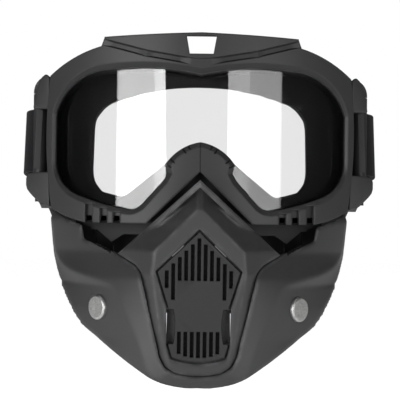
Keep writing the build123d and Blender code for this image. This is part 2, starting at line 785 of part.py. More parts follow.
with BuildPart() as jaw_shell:
    add(cheek_outer)
    add(cheek_inner, mode=Mode.SUBTRACT)
    add(jaw_limits, mode=Mode.INTERSECT)
    add(wing_limits, mode=Mode.INTERSECT)
    add(forward(shield_outline(seam_gap)), mode=Mode.SUBTRACT)
    cheek_middle = cheeks(mask_wall / 2)
    for side in SIDES.values():
        # tongue that plugs into the skirt, on a shelf from the cheek
        with BuildPart(mode=Mode.PRIVATE) as tongue:
            with BuildSketch(Plane.XY.offset(shelf_z[0])):
                with Locations((side * tongue_x, tongue_y + tongue_t / 2 - span / 2)):
                    Rectangle(tongue_w, span)
            extrude(amount=shelf_z[1] - shelf_z[0])
            with BuildSketch(Plane.XY.offset(shelf_z[0])):
                with Locations((side * tongue_x, tongue_y)):
                    Rectangle(tongue_w, tongue_t)
            extrude(amount=tongue_top_z - shelf_z[0])
            add(cheek_middle, mode=Mode.INTERSECT)
        add(tongue.part)
        # rivet's seat and hole
        add(rivet_disc(side, -seat_sink, span / 10, rivet_r + post_gap), mode=Mode.SUBTRACT)
        add(rivet_disc(side, -span / 10, span / 10, rivet_post_r + post_gap), mode=Mode.SUBTRACT)
save(jaw_shell.part, "jaw_shell")

with BuildPart() as nose_shell:
    # faceted skin, its rim turned back to the cheeks' inner face, and the lap behind the seam
    add(muzzle_outer)
    add(muzzle_inner, mode=Mode.SUBTRACT)
    add(forward(shield_outline()), mode=Mode.INTERSECT)
    shield_core = forward(shield_outline(-shell_rim))
    add(((muzzle_outer & forward(shield_outline())) - shield_core) - cheek_lap)
    lap_ring = (forward(shield_outline(shell_lap)) & jaw_limits) - shield_core
    add((cheek_inner - cheek_lap) & lap_ring)
    # window for the vent cover, with a ledge behind it
    add(forward(cover_blank(window_gap)), mode=Mode.SUBTRACT)
    ledge_ring = forward(cover_blank(window_gap + ledge_w)) - forward(cover_blank(-ledge_w))
    add((muzzle(cover_t) - muzzle(cover_t + ledge_t)) & ledge_ring)
    add(forward(waist_cuts() & cover_blank(window_gap)), mode=Mode.SUBTRACT)
save(nose_shell.part, "nose_shell")

# ---------------------------------------------------------------- vent cover
with BuildPart() as vent_cover:
    add(layer(muzzle, 0.0, cover_t, cover_blank()))
    add(forward(waist_cuts()), mode=Mode.SUBTRACT)
    with BuildSketch(Plane.XZ):
        for rows in (upper_slots, lower_slots):
            for number, (top_z, low_z) in enumerate(rows):
                for side in ((1, -1) if number else (1,)):
                    with Locations((side * number * slot_pitch, (top_z + low_z) / 2)):
                        Rectangle(slot_w, top_z - low_z)
    extrude(amount=span, mode=Mode.SUBTRACT)
save(vent_cover.part, "vent_cover")

screen_outline = cover_blank(-ledge_w - screen_gap) - waist_cuts()
save(layer(muzzle, cover_t, cover_t + screen_t, screen_outline), "vent_screen")

with BuildPart() as vent_catches:
    rake = atan2(cover_shoulder[1] - cover_peak_z, cover_shoulder[0])
    middle = sum(catch_span) / 2
    for side in SIDES.values():
        middle_z = cover_peak_z + middle * tan(rake) + window_gap / 2 / cos(rake)
        with BuildSketch(Plane.XZ, mode=Mode.PRIVATE) as catch:
            with Locations(Location((side * middle, middle_z, 0), (0, 0, side * degrees(rake)))):
                Rectangle((catch_span[1] - catch_span[0]) / cos(rake), window_gap - 2 * catch_gap)
        add(layer(muzzle, 0.0, cover_t, catch.sketch))
save(vent_catches.part, "vent_catches")

# ---------------------------------------------------------------- filter
filter_front = cover_t + ledge_t
filter_back = filter_front + filter_t
save(layer(muzzle, filter_front, filter_back, cover_blank(window_gap)), "filter_pad")

with BuildPart() as filter_frame:
    add(muzzle_inner)
    add(muzzle(filter_back + filter_back_t), mode=Mode.SUBTRACT)
    frame_edge = window_gap + ledge_w + filter_room + filter_ring
    add(forward(cover_blank(frame_edge)) & forward(shield_outline(-shell_rim - fit_gap)),
        mode=Mode.INTERSECT)
    hollow = forward(cover_blank(frame_edge - filter_ring))
    with BuildSketch(Plane.XZ, mode=Mode.PRIVATE) as bars:
        with Locations((0, (cover_peak_z + cover_z) / 2)):
            with GridLocations(filter_bar_pitch, 0, 5, 1):
                Rectangle(filter_bar, span)
            with GridLocations(0, filter_bar_pitch * 1.6, 1, 4):
                Rectangle(span, filter_bar)
    add(hollow - (forward(bars.sketch) & muzzle(filter_back)), mode=Mode.SUBTRACT)
save(filter_frame.part, "filter_frame")

# ---------------------------------------------------------------- rivets and pads
pad_back = mask_wall + pad_t
rivets, washers, pads = {}, {}, {}
for name, side in SIDES.items():
    with BuildPart() as rivet:
        add(rivet_disc(side, -seat_sink, rivet_dome, rivet_r))
        axis = rivet_plane(side).z_dir
        top = rivet.faces().sort_by(lambda f: f.normal_at().dot(axis))[-1]
        fillet(top.edges(), rivet_dome * 0.6)
        add(rivet_disc(side, -pad_back - washer_t + seat_sink, -seat_sink, rivet_post_r))
    rivets[name] = rivet.part
    washers[name] = rivet_disc(side, -pad_back - washer_t + seat_sink, -pad_back + seat_sink,
                               washer_r, rivet_post_r)
    with BuildSketch(Plane.XZ, mode=Mode.PRIVATE) as pad_sketch:
        with Locations((side * sum(pad_x) / 2, sum(pad_z) / 2)):
            RectangleRounded(pad_x[1] - pad_x[0], pad_z[1] - pad_z[0], pad_round)
    with BuildPart() as cheek_pad:
        add(layer(cheeks, mask_wall, pad_back, pad_sketch.sketch))
        add(Pos(0, -pad_margin, 0) * wing_limits, mode=Mode.INTERSECT)
        add(rivet_disc(side, -span / 10, span / 10, rivet_post_r + post_gap), mode=Mode.SUBTRACT)
        add(rivet_disc(side, -span / 5, -pad_back + seat_sink, washer_r + post_gap),
            mode=Mode.SUBTRACT)
    save(cheek_pad.part, f"cheek_pad_{name}")
save(Compound(children=[rivets["left"], rivets["right"]]), "cheek_rivets")
save(Compound(children=[washers["left"], washers["right"]]), "rivet_washers")

with BuildPart() as chin_pad:
    chin_top_z = cover_z - frame_edge - chin_pad_gap
    with BuildSketch(Plane.XZ, mode=Mode.PRIVATE) as strip:
        with Locations((0, (chin_pad_low_z + chin_top_z) / 2)):
            RectangleRounded(2 * chin_pad_half, chin_top_z - chin_pad_low_z, pad_round / 3)
    add(layer(cheeks, 2 * mask_wall, 2 * mask_wall + pad_t, strip.sketch))
    add(jaw_limits, mode=Mode.INTERSECT)
save(chin_pad.part, "chin_pad")

# ---------------------------------------------------------------- outriggers, pins and strap
def strap_x(y):
    """Middle of the strap's side run at a distance back from the bar."""
    return bar_x + (strap_back_r - bar_x) * y / strap_side_run


def strap_solid(side, start=0.0):
    """One half of the strap from a point behind the bar to the middle of the back."""
    half = strap_t / 2
    with BuildPart(mode=Mode.PRIVATE) as band:
        with BuildSketch(strap_plane.offset(-strap_w / 2)):
            with BuildLine():
                for shift in (half, -half):
                    Line((side * (strap_x(start) + shift), start),
                         (side * (strap_back_r + shift), strap_side_run))
                    CenterArc((0, strap_side_run), strap_back_r + shift, 0 if side > 0 else 180,
                              90 * side)
                Line((side * (strap_x(start) + half), start), (side * (strap_x(start) - half), start))
                Line((0, strap_side_run + strap_back_r + half),
                     (0, strap_side_run + strap_back_r - half))
            make_face()
        extrude(amount=strap_w)
    return band.part


def near_hinge(side, radius):
    """A tall cylinder about the hinge."""
    with BuildPart(mode=Mode.PRIVATE) as post:
        with BuildSketch(Plane.XY.offset(-span)):
            with Locations((side * hinge_x, hinge_y)):
                Circle(radius)
        extrude(amount=2 * span)
    return post.part


with BuildPart() as hinge_pins:
    for side in SIDES.values():
        for radius, from_z, to_z in ((pin_r, pin_z[0], pin_z[1]),
                                     (pin_head_r, pin_z[0] - pin_head_t, pin_z[0])):
            with BuildSketch(Plane.XY.offset(from_z)):
                with Locations((side * hinge_x, hinge_y)):
                    Circle(radius)
            extrude(amount=to_z - from_z)
save(hinge_pins.part, "hinge_pins")

low_z, high_z = lug_low_z[1] + lug_gap, lug_top_z[0] - lug_gap
loop_r = bar_r + strap_gap + strap_t
for name, side in SIDES.items():
    with BuildPart() as outrigger:
        # arm from the hinge to the bar, square to the strap
        arm_start = (side * hinge_x, (hinge_y - bar_y) / cos(slope) - arm_half_h * tan(slope))
        arm_end = (side * bar_x, 0)
        with BuildSketch(strap_plane.offset(-arm_half_h)):
            with BuildLine():
                Line(arm_start, arm_end)
            trace(line_width=arm_t)
        extrude(amount=2 * arm_half_h)
        with BuildSketch(Plane.XY.offset(low_z)):
            with Locations((0, hinge_y - barrel_r + span / 2)):
                Rectangle(2 * span, span)
        extrude(amount=high_z - low_z, mode=Mode.INTERSECT)
        # hinge barrel
        with BuildSketch(Plane.XY.offset(low_z)):
            with Locations((side * hinge_x, hinge_y)):
                Circle(barrel_r)
        extrude(amount=high_z - low_z)
        # window that the strap's end goes through
        with BuildSketch(strap_plane.offset(-strap_w / 2 - strap_gap)):
            with Locations((side * bar_x, -window_reach / 2)):
                Rectangle(4 * arm_t, window_reach + 2 * bar_r)
        extrude(amount=strap_w + 2 * strap_gap, mode=Mode.SUBTRACT)
        with BuildSketch(strap_plane.offset(-arm_half_h + bar_end)):
            with Locations((side * bar_x, 0)):
                Circle(bar_r)
        extrude(amount=2 * (arm_half_h - bar_end))
        with BuildSketch(Plane.XY.offset(low_z)):
            with Locations((side * hinge_x, hinge_y)):
                Circle(pin_r + pin_gap)
        extrude(amount=high_z - low_z, mode=Mode.SUBTRACT)
    save(outrigger.part, f"outrigger_{name}")

    with BuildPart() as strap_loop:
        # webbing round the bar, both layers meeting behind it
        with BuildSketch(strap_plane.offset(-strap_w / 2)):
            merge_x = strap_x(loop_merge)
            with BuildLine():
                Polyline((side * (bar_x - loop_r), 0), (side * (bar_x + loop_r), 0),
                         (side * (merge_x + strap_t / 2), loop_merge),
                         (side * (merge_x - strap_t / 2), loop_merge), close=True)
            make_face()
            with Locations((side * bar_x, 0)):
                Circle(loop_r)
                Circle(bar_r + strap_gap, mode=Mode.SUBTRACT)
        extrude(amount=strap_w)
        add(strap_solid(side, loop_merge - strap_t))
        add(near_hinge(side, loop_reach - strap_gap / 2), mode=Mode.INTERSECT)
    save(strap_loop.part, f"strap_loop_{name}")

    with BuildPart() as strap_band:
        add(strap_solid(side))
        add(near_hinge(side, loop_reach + strap_gap / 2), mode=Mode.SUBTRACT)
    save(strap_band.part, f"strap_{name}")

    # three-bar slider threaded on the strap's straight side
    run_angle = degrees(atan2(strap_back_r - bar_x, strap_side_run))
    slider_x = bar_x + (strap_back_r - bar_x) * slider_at / strap_side_run
    with BuildPart() as slider:
        half_h = strap_w / 2 + slider_gap + slider_rail
        thick = strap_t + 2 * slider_gap + 2 * slider_bar * 0.7
        with BuildSketch(strap_plane.offset(-half_h)):
            with Locations(Location((side * slider_x, slider_at, 0), (0, 0, -side * run_angle))):
                Rectangle(thick, slider_len)
        extrude(amount=2 * half_h)
        with BuildSketch(strap_plane.offset(-strap_w / 2 - slider_gap)):
            with Locations(Location((side * slider_x, slider_at, 0), (0, 0, -side * run_angle))):
                Rectangle(strap_t + 2 * slider_gap, 2 * slider_len)
            # inner side open between two end bars, outer side open either side of a middle bar
            bay = slider_len - 2 * slider_bar
            with Locations(Location((side * slider_x, slider_at, 0), (0, 0, -side * run_angle))):
                with Locations((-side * thick / 2, 0)):
                    Rectangle(thick, bay)
                with Locations((side * thick / 2, (bay + slider_bar) / 4), (side * thick / 2, -(bay + slider_bar) / 4)):
                    Rectangle(thick, (bay - slider_bar) / 2)
        extrude(amount=strap_w + 2 * slider_gap, mode=Mode.SUBTRACT)
    save(slider.part, f"strap_slider_{name}")
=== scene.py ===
from collections import namedtuple
from math import atan2, cos, floor, hypot, pi, radians, sin, sqrt, tan

import bpy
from bpy.props import FloatProperty, FloatVectorProperty, PointerProperty
from mathutils import Matrix, Vector


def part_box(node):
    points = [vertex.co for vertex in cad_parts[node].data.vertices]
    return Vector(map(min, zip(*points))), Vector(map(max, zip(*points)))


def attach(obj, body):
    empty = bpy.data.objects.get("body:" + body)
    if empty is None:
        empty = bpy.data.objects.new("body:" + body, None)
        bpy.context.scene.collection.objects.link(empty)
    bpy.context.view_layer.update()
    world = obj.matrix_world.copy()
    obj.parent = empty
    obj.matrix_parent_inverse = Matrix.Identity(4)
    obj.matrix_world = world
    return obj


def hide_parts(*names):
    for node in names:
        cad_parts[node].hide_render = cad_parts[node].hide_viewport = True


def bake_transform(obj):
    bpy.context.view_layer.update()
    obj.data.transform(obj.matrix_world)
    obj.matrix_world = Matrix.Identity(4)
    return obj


bl_info = {
    "name": "Goggles with face mask",
    "version": (1, 0, 0),
    "blender": (4, 5, 0),
    "location": "3D View > Sidebar > Goggles",
    "description": "Dresses the sports goggles and their lower face mask around the packed model",
    "category": "Object",
}

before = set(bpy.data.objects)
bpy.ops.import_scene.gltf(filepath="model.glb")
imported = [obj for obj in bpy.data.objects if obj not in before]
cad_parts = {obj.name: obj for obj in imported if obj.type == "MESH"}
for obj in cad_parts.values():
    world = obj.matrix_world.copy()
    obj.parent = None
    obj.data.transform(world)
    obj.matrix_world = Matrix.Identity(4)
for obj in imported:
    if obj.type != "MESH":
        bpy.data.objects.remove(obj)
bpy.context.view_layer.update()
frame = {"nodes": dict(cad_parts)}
NODES = frame["nodes"]
SIDES = {"right": 1, "left": -1}
MM = 0.001

# Lengths are in metres, except where a comment says mm.
# the strap's run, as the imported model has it, in a plane tilted down to the back
STRAP_SLOPE = radians(17.0)
STRAP_ORIGIN = Vector((0.0, 0.009, 0.0))
BAR_X = 0.0846
BAR_R = 0.0022
BAR_GAP = 0.0003
SIDE_RUN = 0.082
BACK_R = 0.083
STRAP_SLACK = 0.002         # how far the fold stands off the bar's outer side
# stations along the webbing, back from the bar: its folded end lies inside, its run outside
FOLD_END, FOLD_TUCK, FOLD_LEAVE, RUN_LEVEL, RUN_EVEN = 0.030, 0.014, 0.012, 0.032, 0.050
CIRCLE_HANDLE = 0.5523      # Bezier handle of a quarter circle, in radii

# ears at the frame's sides, right half, in mm: the outline from the front, the (x, y) of the front
# face's near and far edge, the rear face's y and the round along the edges
Ear = namedtuple("Ear", "outline near far rear soft")
EARS = {
    "upper": Ear(outline=((75.2, 31.4), (76.4, 32.6), (77.6, 33.0), (79.4, 31.6), (80.9, 29.6),
                          (82.5, 24.6), (83.4, 19.6), (84.0, 16.2), (75.2, 15.6)),
                 near=(75.2, -23.6), far=(84.0, -17.4), rear=-15.0, soft=0.8),
    "lower": Ear(outline=((75.2, -15.6), (86.4, -16.4), (87.2, -19.0), (87.2, -22.3),
                          (86.6, -24.4), (85.0, -26.4), (82.3, -29.0), (78.4, -31.4),
                          (74.4, -33.0)),
                 near=(75.2, -23.6), far=(87.2, -16.6), rear=-14.9, soft=0.8),
}
DEEP = 0.5                  # half depth of a flat outline before its two faces are set

# the jaw's sweep from the front, right half: (x, z) of three points of one circle, in mm
JAW_SWEEP = ((76.9, -35.0), (73.0, -60.0), (57.4, -90.0))
JAW_STEP = 0.001            # height of a level at which the shell's reach is taken
JAW_AVERAGE = 2             # levels on either side that even the reach out
JAW_STILL = 0.03            # nothing nearer to the middle moves
JAW_FADE = 4.0              # mm over which the move dies out at the sweep's ends
# the slope from the jaw's corner to the chin, in mm: its height range, and how far it swells out
CHIN_LOW, CHIN_HIGH, CHIN_SWELL = -122.0, -95.0, 1.6
# tongues of the jaw shell, in mm: from and to where they stand, the jaw's edge at their foot and
# how fast it rises outwards
TONGUE_NEAR, TONGUE_FAR, TONGUE_FOOT, TONGUE_SLOPE = 42.5, 56.0, -54.9, 0.5
APRON_TOP, APRON_REACH = -0.0395, 0.058     # frame's faces, low down near the middle, that get painted shade

# cuts on the frame's front, in mm and degrees; each is dented and darkened as painted shade
Cut = namedtuple("Cut", "kind across up turn half_width half_length")
CUTS = (Cut("slit", 6.0, -2.9, 32.0, 0.4, 2.4), Cut("slit", 8.4, -4.6, 38.0, 0.4, 2.6),
        Cut("slit", 14.2, -9.6, 50.0, 0.4, 2.6), Cut("slit", 15.8, -12.4, 62.0, 0.4, 2.2),
        Cut("slit", 0.0, -8.0, 0.0, 0.22, 6.8), Cut("groove", 36.4, 43.6, 74.2, 1.4, 10.6),
        Cut("groove", 16.6, 39.0, 79.8, 1.4, 10.4))

# softboxes seen in the lens: the bearings of their edges from straight ahead, in degrees
Softbox = namedtuple("Softbox", "name low high radiance")
SOFTBOXES = (Softbox("Softbox Left Outer", -52.6, -29.0, 7.6),
             Softbox("Softbox Left Inner", -29.0, -22.2, 10.5),
             Softbox("Softbox Right Inner", 17.3, 31.0, 4.8),
             Softbox("Softbox Right Outer", 31.0, 51.3, 3.5))
LENS_FRONT = Vector((0.0, -0.05, 0.05))
Lamp = namedtuple("Lamp", "name place aim width height radiance")
TOP_LAMP = Lamp("Top Softbox", (0.0, -0.15, 1.1), (0.0, -0.03, -0.03), 1.0, 0.7, 1.0)
SIDE_CARDS = (Lamp("Side Card Left", (-1.1, -0.2, 0.0), (0.0, 0.0, -0.05), 0.7, 0.9, 3.4),
              Lamp("Side Card Right", (1.1, -0.2, 0.0), (0.0, 0.0, -0.05), 0.7, 0.9, 2.6))
WORLD_DIM = 0.05            # what the white surround gives to everything but the camera
CAMERA_LENS, CAMERA_SENSOR, CAMERA_ROLL = 122.4, 36.0, radians(0.72)

# mesh sizes and welding distances
MERGE_NODE, MERGE_OUTLINE, MERGE_RIBBON = 0.00002, 0.00001, 0.000005
JAW_VOXEL, STRIP_VOXEL, PAD_VOXEL = 0.0007, 0.001, 0.0016
CLOTH_FRAMES, CLOTH_PRESSURE = 12, 4.0

DUST, LINT = (0.22, 0.21, 0.2), (0.2, 0.2, 0.19)
WHITE = (1.0, 1.0, 1.0, 1.0)


# ---------------------------------------------------------------- sizes and colours
def length(name, description, default):
    return FloatProperty(name=name, description=description, default=default, min=0.0,
                         subtype="DISTANCE", unit="LENGTH", precision=4)


def factor(name, description, default, high=1.0):
    return FloatProperty(name=name, description=description, default=default, min=0.0, max=high,
                         subtype="FACTOR")


def colour(name, description, default):
    return FloatVectorProperty(name=name, description=description, default=default, size=3,
                               min=0.0, max=1.0, subtype="COLOR")


class GoggleSizes(bpy.types.PropertyGroup):
    """Sizes of the soft pieces and the studio"""
    strap_width: length("Strap width", "Width of the elastic webbing", 0.034)
    strap_thickness: length("Strap thickness", "Thickness of the elastic webbing", 0.002)
    foam_voxel: length("Foam voxel", "Mesh size of the foam before it is puffed", 0.0024)
    foam_inset: length("Foam inset", "How much smaller the foam starts before it is puffed", 0.0007)
    foam_swell: length("Foam swell", "Most that the foam's surface may move out", 0.0011)
    slot_ease: length("Slot ease", "Vent cover's faces drawn in, which opens its slots", 0.0002)
    filter_spread: factor("Filter spread", "Filter pad's outline against the packed one", 1.07, 1.2)
    edge_round: length("Edge round", "Soft radius seen along moulded edges", 0.0006)
    softbox_distance: length("Softbox distance", "From the lens to the softboxes", 1.2)
    softbox_height: length("Softbox height", "Height of the softboxes", 0.6)
    camera_distance: length("Camera distance", "From the camera to the face's plane", 0.7)
    camera_height: length("Camera height", "Camera below eye height", 0.0288)
    camera_aside: length("Camera aside", "Camera to the left of the middle", 0.0035)
    camera_aim: length("Camera aim", "How far in front of the face the camera aims", 0.07)
    floor_drop: length("Floor drop", "From eye height down to the floor", 0.24)


class GoggleColours(bpy.types.PropertyGroup):
    """Base colours of the finishes"""
    frame: colour("Frame", "Moulded plastic of the front frame", (0.019, 0.019, 0.020))
    mask: colour("Mask", "Moulded plastic of the jaw and nose shells", (0.021, 0.021, 0.022))
    cover: colour("Cover", "Moulded plastic of the vent cover", (0.014, 0.014, 0.015))
    trim: colour("Trim", "Plastic of outriggers, sliders and filter frame", (0.012, 0.012, 0.013))
    skirt: colour("Skirt", "Soft moulding behind the frame", (0.012, 0.012, 0.013))
    foam: colour("Foam", "Open-cell foam", (0.012, 0.012, 0.012))
    fleece: colour("Fleece", "Brushed face cloth", (0.017, 0.017, 0.018))
    webbing: colour("Webbing", "Elastic strap", (0.007, 0.007, 0.008))
    steel: colour("Steel", "Rivets, washers and pins", (0.62, 0.62, 0.61))
    clip: colour("Clip", "Pale clips that hold the vent cover", (0.09, 0.09, 0.09))
    felt: colour("Felt", "Filter pad", (0.06, 0.06, 0.06))


# ---------------------------------------------------------------- helpers
def sizes():
    return bpy.context.scene.goggle_sizes


def colours():
    return bpy.context.scene.goggle_colours


def only(obj):
    """Select one object and make it active."""
    bpy.ops.object.select_all(action="DESELECT")
    obj.select_set(True)
    bpy.context.view_layer.objects.active = obj


def apply_all(obj):
    """Apply every modifier of a piece, in order."""
    only(obj)
    for modifier in list(obj.modifiers):
        bpy.ops.object.modifier_apply(modifier=modifier.name)


def edit_all(piece, *steps):
    """Run edit-mode steps, each an operator and its settings, on the whole of a piece."""
    only(piece)
    bpy.ops.object.mode_set(mode="EDIT")
    bpy.ops.mesh.select_all(action="SELECT")
    for operator, settings in steps:
        operator(**settings)
    bpy.ops.object.mode_set(mode="OBJECT")


def weld(piece, distance):
    """Join the points that lie on each other and turn every face outwards."""
    edit_all(piece, (bpy.ops.mesh.remove_doubles, {"threshold": distance}),
             (bpy.ops.mesh.normals_make_consistent, {"inside": False}))


def fatten(piece, distance, even=False):
    """Move a piece's surface out along its normals."""
    edit_all(piece, (bpy.ops.transform.shrink_fatten, {"value": distance, "use_even_offset": even}))


def copy_of_node(node_name, name):
    """A merged copy of a CAD node's mesh as a new piece."""
    piece = bpy.data.objects.new(name, NODES[node_name].data.copy())
    bpy.context.scene.collection.objects.link(piece)
    piece.data.materials.clear()
    weld(piece, MERGE_NODE)
    return piece


def add_remesh(piece, voxel):
    remesh = piece.modifiers.new("Remesh", "REMESH")
    remesh.mode = "VOXEL"
    remesh.voxel_size = voxel


def add_smooth(piece, rounds):
    smooth = piece.modifiers.new("Smooth", "SMOOTH")
    smooth.factor = 0.5
    smooth.iterations = rounds


def dress(piece, material, body, slot, *nodes):
    """Give a finished piece its material and its body, and hide the nodes it replaces; its slot
    argument is not used.
    """
    piece.data.materials.append(material)
    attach(piece, body)
    if nodes:
        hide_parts(*nodes)


def puff(piece, voxel, inset, swell):
    """Turn a closed block into a crowned soft pad: remesh, shrink, inflate as cloth, smooth."""
    add_remesh(piece, voxel)
    apply_all(piece)
    fatten(piece, -inset)
    start = [vertex.co.copy() for vertex in piece.data.vertices]
    cloth = piece.modifiers.new("Cloth", "CLOTH")
    cloth.settings.use_pressure = True
    cloth.settings.uniform_pressure_force = CLOTH_PRESSURE
    cloth.settings.effector_weights.gravity = 0.0
    cloth.point_cache.frame_start = 1
    cloth.point_cache.frame_end = CLOTH_FRAMES
    for number in range(1, CLOTH_FRAMES + 1):
        bpy.context.scene.frame_set(number)
    apply_all(piece)
    bpy.context.scene.frame_set(1)
    for vertex, rest in zip(piece.data.vertices, start):
        move = vertex.co - rest
        if move.length > swell:
            vertex.co = rest + move.normalized() * swell
    add_smooth(piece, 2)
    divide = piece.modifiers.new("Subdivision", "SUBSURF")
    divide.levels = 1
    divide.render_levels = 1
    apply_all(piece)
    bpy.ops.object.shade_smooth()
    return piece


# ---------------------------------------------------------------- shader building
def node(tree, kind, **values):
    """A shader node; capitalised values are its sockets and the rest its settings."""
    made = tree.nodes.new(kind)
    for key, value in values.items():
        name = key.replace("_", " ")
        if key[0].isupper() and name in made.inputs:
            made.inputs[name].default_value = value
        else:
            setattr(made, key, value)
    return made


def link(tree, source, output, target, name):
    tree.links.new(source.outputs[output], target.inputs[name])


def maths(tree, operation, *values, clamp=False):
    """A maths node's result; each value is a number or the socket that it comes from."""
    made = node(tree, "ShaderNodeMath", operation=operation, use_clamp=clamp)
    for socket, value in zip(made.inputs, values):
        if isinstance(value, bpy.types.NodeSocket):
            tree.links.new(value, socket)
        else:
            socket.default_value = value
    return made.outputs[0]


def ranged(tree, source, output, low, high, start="From"):
    """A map-range node on an output, with its From or its To range set."""
    made = node(tree, "ShaderNodeMapRange", **{f"{start}_Min": low, f"{start}_Max": high})
    link(tree, source, output, made, "Value")
    return made.outputs["Result"]


def new_group(name, inputs, outputs):
    """A shader node group with named value inputs and outputs."""
    group = bpy.data.node_groups.new(name, "ShaderNodeTree")
    for label, default in inputs:
        socket = group.interface.new_socket(label, in_out="INPUT", socket_type="NodeSocketFloat")
        socket.default_value = default
    for label, kind in outputs:
        group.interface.new_socket(label, in_out="OUTPUT", socket_type=kind)
    return group, node(group, "NodeGroupInput"), node(group, "NodeGroupOutput")


VALUE, VECTOR = "NodeSocketFloat", "NodeSocketVector"


def build_moulded_grain():
    """Fine spark-eroded grain with slow cloudy changes of tone."""
    group, start, end = new_group("Moulded Grain", [("Grain Scale", 2600.0), ("Cloud Scale", 22.0)],
                                  [("Height", VALUE), ("Cloud", VALUE)])
    place = node(group, "ShaderNodeTexCoord")
    fine = node(group, "ShaderNodeTexNoise", Detail=2.0, Roughness=0.6)
    cells = node(group, "ShaderNodeTexVoronoi", feature="SMOOTH_F1", Smoothness=0.6)
    cloud = node(group, "ShaderNodeTexNoise", Detail=3.0, Roughness=0.55)
    for texture, scale in ((fine, "Grain Scale"), (cells, "Grain Scale"), (cloud, "Cloud Scale")):
        link(group, place, "Object", texture, "Vector")
        link(group, start, scale, texture, "Scale")
    height = maths(group, "MULTIPLY_ADD", cells.outputs["Distance"], 0.6, fine.outputs["Fac"])
    group.links.new(height, end.inputs["Height"])
    link(group, cloud, "Fac", end, "Cloud")
    return group


def build_edge_wear():
    """Rounded normals at sharp edges, and a broken mask along them, which lightens the edges as
    rubbed wear and as a painted highlight.
    """
    group, start, end = new_group("Edge Wear And Highlight", [("Radius", 0.0006), ("Gain", 3.0)],
                                  [("Normal", VECTOR), ("Mask", VALUE)])
    place = node(group, "ShaderNodeTexCoord")
    rounded = node(group, "ShaderNodeBevel", samples=4)
    shape = node(group, "ShaderNodeNewGeometry")
    turn = node(group, "ShaderNodeVectorMath", operation="DOT_PRODUCT")
    broken = node(group, "ShaderNodeTexNoise", Scale=160.0, Detail=3.0)
    link(group, start, "Radius", rounded, "Radius")
    group.links.new(rounded.outputs["Normal"], turn.inputs[0])
    group.links.new(shape.outputs["True Normal"], turn.inputs[1])
    link(group, place, "Object", broken, "Vector")
    drop = maths(group, "SUBTRACT", 1.0, turn.outputs["Value"])
    edge = maths(group, "MULTIPLY", drop, start.outputs["Gain"], clamp=True)
    gaps = ranged(group, broken, "Fac", 0.35, 0.7)
    group.links.new(maths(group, "MULTIPLY", edge, gaps, clamp=True), end.inputs["Mask"])
    link(group, rounded, "Normal", end, "Normal")
    return group


def build_dust():
    """A thin veil of dust on faces that look up."""
    group, start, end = new_group("Dust Veil", [("Amount", 0.12), ("Speck Scale", 240.0)],
                                  [("Mask", VALUE)])
    place = node(group, "ShaderNodeTexCoord")
    shape = node(group, "ShaderNodeNewGeometry")
    parts = node(group, "ShaderNodeSeparateXYZ")
    speck = node(group, "ShaderNodeTexNoise", Detail=4.0, Roughness=0.7)
    link(group, place, "Object", speck, "Vector")
    link(group, start, "Speck Scale", speck, "Scale")
    link(group, shape, "Normal", parts, "Vector")
    up = ranged(group, parts, "Z", 0.2, 1.0)
    grain = ranged(group, speck, "Fac", 0.45, 0.75)
    both = maths(group, "MULTIPLY", up, grain)
    total = maths(group, "MULTIPLY", both, start.outputs["Amount"], clamp=True)
    group.links.new(total, end.inputs["Mask"])
    return group


def build_open_cells():
    """Open-cell foam: small pits between thin walls."""
    group, start, end = new_group("Open Cells", [("Cell Scale", 900.0)],
                                  [("Height", VALUE), ("Pits", VALUE)])
    place = node(group, "ShaderNodeTexCoord")
    cells = node(group, "ShaderNodeTexVoronoi", feature="F1")
    walls = node(group, "ShaderNodeTexVoronoi", feature="DISTANCE_TO_EDGE")
    rough = node(group, "ShaderNodeTexNoise", Scale=420.0, Detail=3.0)
    for texture in (cells, walls, rough):
        link(group, place, "Object", texture, "Vector")
    for texture in (cells, walls):
        link(group, start, "Cell Scale", texture, "Scale")
    height = maths(group, "ADD", cells.outputs["Distance"], rough.outputs["Fac"])
    group.links.new(height, end.inputs["Height"])
    group.links.new(ranged(group, walls, "Distance", 0.0, 0.18), end.inputs["Pits"])
    return group


def build_weave():
    """Ribbed elastic weave from a UV map in metres: cords along the strap, picks across."""
    group, start, end = new_group("Elastic Weave", [("Rib Pitch", 0.0012), ("Pick Pitch", 0.0009)],
                                  [("Height", VALUE), ("Tone", VALUE)])
    place = node(group, "ShaderNodeUVMap")
    parts = node(group, "ShaderNodeSeparateXYZ")
    link(group, place, "UV", parts, "Vector")
    waves = []
    for axis, pitch in (("Y", "Rib Pitch"), ("X", "Pick Pitch")):
        share = maths(group, "DIVIDE", parts.outputs[axis], start.outputs[pitch])
        waves.append(maths(group, "SINE", maths(group, "MULTIPLY", share, 2.0 * pi)))
    crossing = maths(group, "MULTIPLY", *waves)
    height = maths(group, "MULTIPLY_ADD", waves[0], 0.5, crossing)
    tone = node(group, "ShaderNodeMapRange", From_Min=-1.5, From_Max=1.5)
    group.links.new(height, tone.inputs["Value"])
    group.links.new(height, end.inputs["Height"])
    link(group, tone, "Result", end, "Tone")
    return group


